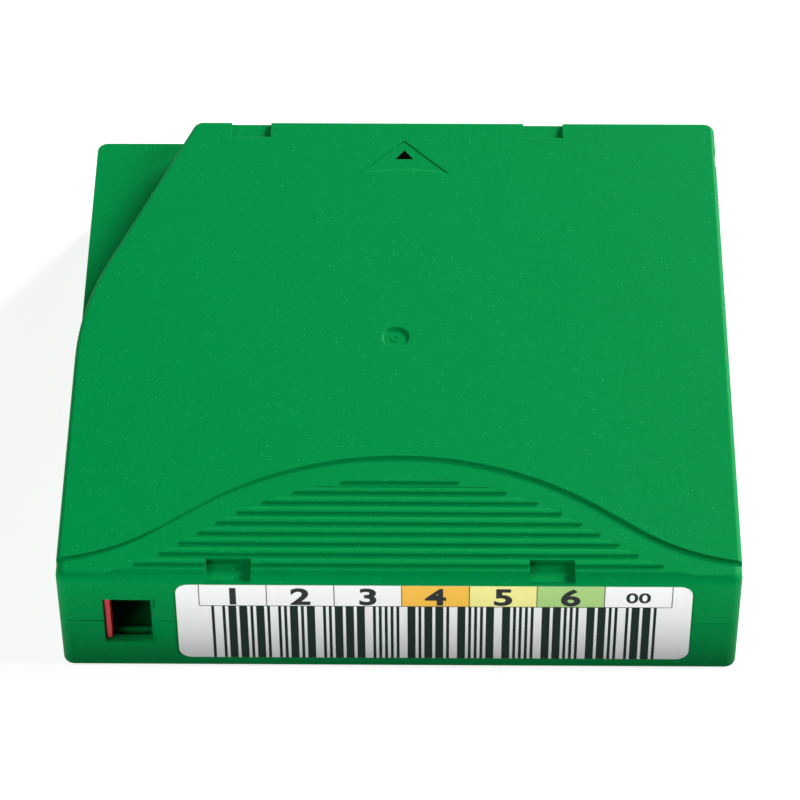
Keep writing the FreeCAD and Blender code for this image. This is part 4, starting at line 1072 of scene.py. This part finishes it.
@dataclass
class ScrewSet:
    """Four cross-recessed pan-head screws under the case."""

    head_radius: float = 2.4 * MM
    shank_radius: float = 1.15 * MM
    head_depth: float = 1.7 * MM
    edge_round: float = 0.5 * MM
    round_steps: int = 4
    tip_share: float = 0.3
    cross_reach: float = 1.35 * MM
    cross_width: float = 0.5 * MM
    cross_depth: float = 0.95 * MM
    cross_inner: float = 1.3
    cross_taper: float = 0.55
    turn_degrees: float = 20.0
    sides: int = 48

    def ring(self, shape: bmesh.types.BMesh, radius: float, height: float) -> list[bmesh.types.BMVert]:
        """Adds a circle of points to a mesh and returns them."""
        steps = [2 * math.pi * step / self.sides for step in range(self.sides)]
        return [shape.verts.new((radius * math.cos(a), radius * math.sin(a), height)) for a in steps]

    def cross(self, shape: bmesh.types.BMesh, scale: float, height: float) -> list[bmesh.types.BMVert]:
        """Adds the outline of the driver's recess to a mesh.

        Args:
            shape: mesh that gets the points.
            scale: size of the outline, as a share of the recess's mouth.
            height: height of the outline.

        Returns:
            The outline's points, in order.
        """
        half = self.cross_width / 2
        inner = half * self.cross_inner
        corner = [(self.cross_reach, -half), (self.cross_reach, half), (inner, inner)]
        points = []
        for quarter in range(4):
            turn = Matrix.Rotation(quarter * math.pi / 2, 3, "Z")
            for x, y in corner:
                points.append(shape.verts.new(turn @ Vector((x * scale, y * scale, height))))
        return points

    def skin(self, shape: bmesh.types.BMesh, lower: list, upper: list) -> None:
        """Joins two loops of as many points with a band of faces.

        Args:
            shape: mesh that gets the faces.
            lower: points of the first loop.
            upper: points of the second loop.
        """
        for index in range(len(lower)):
            after = (index + 1) % len(lower)
            shape.faces.new((lower[index], lower[after], upper[after], upper[index]))

    def screw(self, height: float) -> bmesh.types.BMesh:
        """Makes one screw, head down, with its lowest point at height 0.

        Args:
            height: length of the whole screw.

        Returns:
            The closed shape.
        """
        shape = bmesh.new()
        loops = []
        for step in range(self.round_steps + 1):
            angle = step * math.pi / (2 * self.round_steps)
            radius = self.head_radius - self.edge_round * (1 - math.sin(angle))
            loops.append(self.ring(shape, radius, self.edge_round * (1 - math.cos(angle))))
        loops.append(self.ring(shape, self.head_radius, self.head_depth))
        loops.append(self.ring(shape, self.shank_radius, self.head_depth))
        loops.append(self.ring(shape, self.shank_radius, height - self.shank_radius))
        loops.append(self.ring(shape, self.shank_radius * self.tip_share, height))
        for lower, upper in zip(loops, loops[1:]):
            self.skin(shape, lower, upper)
        shape.faces.new(loops[-1])
        mouth = self.cross(shape, 1.0, 0.0)
        floor = self.cross(shape, self.cross_taper, self.cross_depth)
        self.skin(shape, mouth, floor)
        shape.faces.new(floor)
        rim_edges = [edge for edge in shape.edges if len(edge.link_faces) == 1]
        bmesh.ops.triangle_fill(shape, edges=rim_edges, use_beauty=True)
        bmesh.ops.recalc_face_normals(shape, faces=shape.faces)
        return shape

    def places(self) -> list[Vector]:
        """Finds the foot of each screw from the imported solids.

        Returns:
            The lowest point on each screw's axis.
        """
        points = [vertex.co for vertex in frame["nodes"]["case_screws"].data.vertices]
        centre = middle("case_screws")
        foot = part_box("case_screws")[0].z
        feet = []
        for side_x in (-1, 1):
            for side_y in (-1, 1):
                own = [p for p in points if (p.x - centre.x) * side_x > 0 and (p.y - centre.y) * side_y > 0]
                x = (min(p.x for p in own) + max(p.x for p in own)) / 2
                y = (min(p.y for p in own) + max(p.y for p in own)) / 2
                feet.append(Vector((x, y, foot)))
        return feet

    def build(self) -> bpy.types.Object:
        """Sets a screw at each place.

        Returns:
            The four screws as one piece.
        """
        low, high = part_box("case_screws")
        material = PALETTE.screw.build()
        pattern = shape_object("screw_pattern", self.screw(high.z - low.z), material)
        recipe = Recipe("case_screws")
        sizes = recipe.sizes(Turn=(0.0, 0.0, math.radians(self.turn_degrees)))
        source = add_node(recipe.tree, "GeometryNodeObjectInfo", {"Object": pattern})
        placed = add_node(recipe.tree, "GeometryNodeInstanceOnPoints", {
            "Points": sizes.outputs["Geometry"],
            "Instance": source.outputs["Geometry"],
            "Rotation": sizes.outputs["Turn"]})
        recipe.finish(placed.outputs[0], material)
        seed = bpy.data.meshes.new("screw_places")
        seed.from_pydata(self.places(), [], [])
        screws = recipe.run("pan_head_screws", seed, material)
        bpy.data.objects.remove(pattern)
        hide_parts("case_screws")
        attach(screws, "case")
        return screws


@dataclass
class LabelPrint:
    """Generic print on the label: a row of numbered cells over a bar code of the same digits."""

    digits: str = "123456"
    suffix: str = "00"
    cell: float = 10.4 * MM
    left_margin: float = 3.6 * MM
    head_height: float = 4.9 * MM
    bar_margin: float = 5.4 * MM
    edge_gap: float = 0.02 * MM
    ink: float = 0.006 * MM
    glyph_height: float = 3.7 * MM
    glyph_lift: float = 0.4 * MM
    glyph_layer: float = 2.5
    digit_to_font: float = 0.7
    widening: float = 1.18
    bold: float = 0.045
    curve_steps: int = 6
    suffix_scale: float = 0.62
    suffix_bold: float = 0.03
    rule: float = 0.14 * MM
    wide_to_narrow: float = 2.75

    def __post_init__(self) -> None:
        """Works out the places of the print from the label's."""
        self.low, self.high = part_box("barcode_label")
        self.face = self.low.y
        self.head_top = self.high.z - self.edge_gap
        self.head_bottom = self.head_top - self.head_height
        self.start = self.low.x + self.left_margin
        self.cells = len(self.digits) + 1

    def tint(self, index: int) -> Finish:
        """Gives the finish behind one of the cells."""
        tints = {3: PALETTE.orange_ink, 4: PALETTE.yellow_ink, 5: PALETTE.green_ink}
        return tints.get(index, PALETTE.label)

    def keep(self, piece: bpy.types.Object) -> bpy.types.Object:
        """Fixes a printed piece to the case."""
        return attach(piece, "case")

    def panel(self, name: str, boxes: list[tuple[float, float, float, float]], layer: int,
              finish: Finish) -> bpy.types.Object:
        """Prints flat rectangles.

        Args:
            name: name of the piece.
            boxes: left, right, lower and upper edge of each rectangle.
            layer: how many inks lie between the label and this one.
            finish: the ink.

        Returns:
            The printed piece.
        """
        shape = bmesh.new()
        back = self.face - layer * self.ink
        for left, right, lower, upper in boxes:
            low = Vector((left, back - self.ink, lower))
            high = Vector((right, back, upper))
            place = Matrix.Translation((low + high) / 2) @ Matrix.Diagonal((*(high - low), 1))
            bmesh.ops.create_cube(shape, size=1, matrix=place)
        return self.keep(shape_object(name, shape, finish.build()))

    def glyph(self, name: str, text: str, centre_x: float, height: float, bold: float) -> bpy.types.Object:
        """Prints one number, centred in its cell.

        Args:
            name: name of the piece.
            text: the number.
            centre_x: where its middle goes.
            height: height of a digit.
            bold: how much the strokes are thickened, as a share of the height.

        Returns:
            The printed number.
        """
        curve = bpy.data.curves.new(name, "FONT")
        curve.body = text
        curve.size = height / self.digit_to_font
        curve.offset = bold * height
        curve.resolution_u = self.curve_steps
        curve.extrude = self.ink / 2
        writer = bpy.data.objects.new(name, curve)
        bpy.context.scene.collection.objects.link(writer)
        mesh = bpy.data.meshes.new_from_object(writer.evaluated_get(bpy.context.evaluated_depsgraph_get()))
        bpy.data.objects.remove(writer)
        xs = [vertex.co.x for vertex in mesh.vertices]
        ys = [vertex.co.y for vertex in mesh.vertices]
        centre = Vector(((min(xs) + max(xs)) / 2, (min(ys) + max(ys)) / 2, 0))
        widen = Matrix.Diagonal((self.widening, 1.0, 1.0, 1.0))
        centre_z = self.head_bottom + self.glyph_lift + self.glyph_height / 2
        stand = Matrix.Rotation(math.pi / 2, 4, "X")
        spot = Matrix.Translation((centre_x, self.face - self.glyph_layer * self.ink, centre_z))
        mesh.transform(spot @ stand @ widen @ Matrix.Translation(-centre))
        mesh.materials.clear()
        mesh.materials.append(PALETTE.digit_ink.build())
        return self.keep(mesh_object(name, mesh))

    def bars(self) -> list[tuple[float, float]]:
        """Works out the bars of a two-width code for the digits, between two guard signs.

        Returns:
            Left edge and width of each bar, in narrow widths.
        """
        signs = {
            "*": "nwnnwnwnn", "0": "nnnwwnwnn", "1": "wnnwnnnnw", "2": "nnwwnnnnw", "3": "wnwwnnnnn",
            "4": "nnnwwnnnw", "5": "wnnwwnnnn", "6": "nnwwwnnnn", "7": "nnnwnnwnw", "8": "wnnwnnwnn",
            "9": "nnwwnnwnn"}
        bars = []
        place = 0.0
        for sign in "*" + self.digits + self.suffix + "*":
            for index, width in enumerate(signs[sign]):
                wide = self.wide_to_narrow if width == "w" else 1.0
                if index % 2 == 0:
                    bars.append((place, wide))
                place += wide
            place += 1.0
        return bars

    def bar_code(self) -> bpy.types.Object:
        """Prints the bars, each a stretched copy of one unit bar.

        Returns:
            The bar code.
        """
        bars = self.bars()
        first = self.low.x + self.bar_margin
        narrow = (self.high.x - self.bar_margin - first) / (bars[-1][0] + bars[-1][1])
        foot = self.low.z + self.edge_gap
        tall = self.head_bottom - foot
        material = PALETTE.bar_ink.build()
        seed = bpy.data.meshes.new("bar_places")
        middles = [first + (left + width / 2) * narrow for left, width in bars]
        seed.from_pydata([(x, self.face - self.ink / 2, foot + tall / 2) for x in middles], [], [])
        widths = seed.attributes.new("bar_width", "FLOAT", "POINT")
        widths.data.foreach_set("value", [width * narrow for _, width in bars])
        recipe = Recipe("bar_code")
        sizes = recipe.sizes(Thickness=self.ink, Height=tall)
        unit = add_node(recipe.tree, "GeometryNodeMeshCube", {"Size": (1, 1, 1)})
        width = add_node(recipe.tree, "GeometryNodeInputNamedAttribute", {"Name": "bar_width"},
                         data_type="FLOAT")
        scale = add_node(recipe.tree, "ShaderNodeCombineXYZ", {
            "X": width.outputs[0],
            "Y": sizes.outputs["Thickness"],
            "Z": sizes.outputs["Height"]})
        placed = add_node(recipe.tree, "GeometryNodeInstanceOnPoints", {
            "Points": sizes.outputs["Geometry"],
            "Instance": unit.outputs[0],
            "Scale": scale.outputs[0]})
        recipe.finish(placed.outputs[0], material)
        return self.keep(recipe.run("label_bar_code", seed, material))

    def build(self) -> list[bpy.types.Object]:
        """Prints the label.

        Returns:
            Every printed piece.
        """
        made = [self.bar_code()]
        edges = [self.start + index * self.cell for index in range(self.cells + 1)]
        for index in range(self.cells):
            box = (edges[index], edges[index] + self.cell, self.head_bottom, self.head_top)
            made.append(self.panel(f"label_cell_{index + 1}", [box], 0, self.tint(index)))
        half = self.rule / 2
        rules = [(x - half, x + half, self.head_bottom, self.head_top) for x in edges]
        rules.append((edges[0], edges[-1], self.head_bottom - half, self.head_bottom + half))
        made.append(self.panel("label_rules", rules, 1, PALETTE.rule_ink))
        centres = [edge + self.cell / 2 for edge in edges]
        for index, digit in enumerate(self.digits):
            name = f"label_number_{index + 1}"
            made.append(self.glyph(name, digit, centres[index], self.glyph_height, self.bold))
        suffix_height = self.glyph_height * self.suffix_scale
        suffix_centre = centres[self.cells - 1]
        made.append(self.glyph("label_suffix", self.suffix, suffix_centre, suffix_height, self.suffix_bold))
        return made


@dataclass
class InsertionMark:
    """Black triangle printed in the recessed arrow on the top."""

    tip_inset: float = 7.0 * MM
    height: float = 2.2 * MM
    half_width: float = 1.5 * MM
    recess: float = ArrowRecess.depth
    ink: float = 0.01 * MM

    def build(self) -> bpy.types.Object:
        """Prints the triangle.

        Returns:
            The printed piece.
        """
        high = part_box("upper_shell")[1]
        tip = high.y - self.tip_inset
        level = high.z - self.recess
        corners = [(0.0, tip), (-self.half_width, tip - self.height), (self.half_width, tip - self.height)]
        shape = bmesh.new()
        face = shape.faces.new([shape.verts.new((x, y, level)) for x, y in corners])
        raised = bmesh.ops.extrude_face_region(shape, geom=[face])["geom"]
        tops = [item for item in raised if isinstance(item, bmesh.types.BMVert)]
        bmesh.ops.translate(shape, verts=tops, vec=(0, 0, self.ink))
        bmesh.ops.recalc_face_normals(shape, faces=shape.faces)
        mark = shape_object("insertion_mark", shape, PALETTE.case_ink.build())
        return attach(mark, "case")


@dataclass
class Cartridge:
    """The whole cartridge, piece by piece."""

    roof_edge: float = 0.07 * MM
    edge: float = 0.12 * MM
    door_coil_radius: float = 1.0 * MM
    door_wire: float = 0.36 * MM
    door_turns: int = 16
    brake_coil_radius: float = 8.1 * MM
    brake_wire: float = 0.9 * MM
    brake_turns: int = 6

    def solids(self) -> list[CasePart]:
        """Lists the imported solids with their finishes.

        Returns:
            The parts, in the order in which they are dressed.
        """
        p = PALETTE
        roof_forms = (GripRibs(), ArrowRecess(), BellEdge())
        return [
            CasePart("upper_shell", "case", "shell_green", p.case, self.roof_edge, roof_forms),
            CasePart("lower_shell", "case", "shell_green_lower", p.case, self.edge),
            CasePart("barcode_label", "case", "label_paper", p.label),
            CasePart("write_protect_switch", "switch", "switch_red", p.switch, self.edge),
            CasePart("sliding_door", "door", "door_green", p.case, self.edge),
            CasePart("reel_hub", "reel", "hub_grey", p.hub),
            CasePart("reel_upper_flange", "reel", "flange_grey", p.flange),
            CasePart("reel_chuck_plate", "reel", "plate_steel", p.chuck),
            CasePart("tape_pack", "reel", "tape_dark", p.tape),
            CasePart("tape_lead", "case", "tape_dark", p.tape),
            CasePart("leader_pin", "case", "pin_steel", p.pin),
            CasePart("leader_pin_clip", "case", "clip_white", p.clip),
            CasePart("pin_retaining_spring", "case", "leaf_steel", p.leaf),
            CasePart("brake_button", "brake", "brake_black", p.brake),
            CasePart("brake_release_pad", "pad", "pad_white", p.pad),
            CasePart("memory_board", "case", "board_green", p.board),
            CasePart("memory_chip", "case", "chip_black", p.chip),
        ]

    def springs(self) -> list[CoilSpring]:
        """Lists the two springs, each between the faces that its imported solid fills.

        Returns:
            The door's spring and the brake's spring.
        """
        travel = {joint["name"]: joint["range_m"][1] for joint in frame["joints"] if "range_m" in joint}
        door_low, door_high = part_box("door_spring")
        door_centre = middle("door_spring")
        brake_low, brake_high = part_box("brake_spring")
        reel = middle("reel_hub")
        door_spring = CoilSpring(
            "door_coil_spring", "door_spring", "door_slide",
            Vector((door_centre.x, door_low.y, door_centre.z)), Vector((0, 1, 0)), door_high.y - door_low.y,
            self.door_coil_radius, self.door_wire, self.door_turns, travel["door_slide"])
        brake_spring = CoilSpring(
            "brake_coil_spring", "brake_spring", "brake_lift",
            Vector((reel.x, reel.y, brake_high.z)), Vector((0, 0, -1)), brake_high.z - brake_low.z,
            self.brake_coil_radius, self.brake_wire, self.brake_turns, travel["brake_lift"])
        return [door_spring, brake_spring]

    def build(self) -> None:
        """Builds and dresses every piece, and reports each."""
        for solid in self.solids():
            LOG.info("solid %s", solid.build().name)
        for spring in self.springs():
            LOG.info("spring %s", spring.build().name)
        LOG.info("fasteners %s", ScrewSet().build().name)
        for piece in LabelPrint().build():
            LOG.info("print %s", piece.name)
        LOG.info("print %s", InsertionMark().build().name)


# Studio


@dataclass(frozen=True)
class SoftBox:
    """Rectangular soft light that faces the cartridge, or the way it is told to."""

    name: str
    place: tuple[float, float, float]
    width: float
    height: float
    power: float
    aim: tuple[float, float, float] | None = None

    def build(self) -> None:
        """Hangs the light."""
        lamp = bpy.data.lights.new(self.name, "AREA")
        lamp.shape = "RECTANGLE"
        lamp.size = self.width
        lamp.size_y = self.height
        lamp.energy = self.power
        holder = bpy.data.objects.new(self.name, lamp)
        holder.location = self.place
        facing = -Vector(self.place) if self.aim is None else Vector(self.aim)
        holder.rotation_euler = facing.to_track_quat("-Z", "Y").to_euler()
        bpy.context.scene.collection.objects.link(holder)


@dataclass(frozen=True)
class Studio:
    """Plain white sweep with soft boxes, and the camera in front of and above the cartridge."""

    boxes: tuple[SoftBox, ...] = (
        SoftBox("right_soft_box", (0.75, 0.05, 0.45), 0.4, 0.4, 5.8),
        SoftBox("left_soft_box", (-0.45, -0.15, 0.50), 0.4, 0.3, 0.8),
        SoftBox("back_soft_box", (0.75, 0.95, 0.52), 0.4, 0.3, 21.5),
        SoftBox("front_soft_box", (-0.40, -0.62, 0.46), 0.4, 0.4, 2.5),
        SoftBox("bounce_card", (-0.04, -0.185, 0.002), 0.32, 0.20, 0.42, aim=(0.0, 0.0, 1.0)),
    )
    camera_place: tuple[float, float, float] = (6.2 * MM, -433.1 * MM, 471.8 * MM)
    yaw_degrees: float = 0.87
    pitch_degrees: float = 47.05
    roll_degrees: float = -0.38
    sensor_mm: float = 36.0
    focal_widths: float = 4.828
    clip_start: float = 0.01
    clip_end: float = 20.0
    sweep_half: float = 3.0
    sweep_gap: float = 0.1 * MM
    world_level: float = 0.02

    def floor(self) -> None:
        """Lays the sweep."""
        shape = bmesh.new()
        under = Matrix.Translation((0, 0, CAD_BOX[0].z - self.sweep_gap))
        bmesh.ops.create_grid(shape, x_segments=1, y_segments=1, size=self.sweep_half, matrix=under)
        shape_object("sweep", shape, PALETTE.floor.build())

    def world(self) -> None:
        """Fills the room with plain soft light, and shows white behind the cartridge."""
        world = bpy.data.worlds.new("studio_room")
        bpy.context.scene.world = world
        world.use_nodes = True
        tree = world.node_tree
        tree.nodes.clear()
        level = add_node(tree, "ShaderNodeMapRange", {
            "Value": seen_directly(tree), "To Min": self.world_level, "To Max": 1.0})
        sky = add_node(tree, "ShaderNodeBackground", {"Color": (1, 1, 1, 1), "Strength": level.outputs[0]})
        add_node(tree, "ShaderNodeOutputWorld", {"Surface": sky.outputs[0]})

    def camera(self) -> None:
        """Sets the camera by its place and angles."""
        lens = bpy.data.cameras.new("studio_camera")
        lens.sensor_width = self.sensor_mm
        lens.lens = self.sensor_mm * self.focal_widths
        lens.clip_start = self.clip_start
        lens.clip_end = self.clip_end
        holder = bpy.data.objects.new("studio_camera", lens)
        holder.location = self.camera_place
        tilt = math.radians(90 - self.pitch_degrees)
        facing = Euler((tilt, 0, math.radians(self.yaw_degrees)), "XYZ").to_matrix()
        rolled = facing @ Matrix.Rotation(math.radians(self.roll_degrees), 3, "Z")
        holder.rotation_euler = rolled.to_euler()
        bpy.context.scene.collection.objects.link(holder)
        bpy.context.scene.camera = holder

    def build(self) -> None:
        """Builds the studio."""
        self.floor()
        self.world()
        self.camera()
        for soft_box in self.boxes:
            soft_box.build()
        bpy.context.scene.view_settings.view_transform = "Standard"


def main() -> None:
    """Builds the cartridge and the studio."""
    logging.basicConfig(level=logging.INFO, format="%(name)s: %(message)s")
    Cartridge().build()
    Studio().build()


if __name__ == "__main__":
    main()
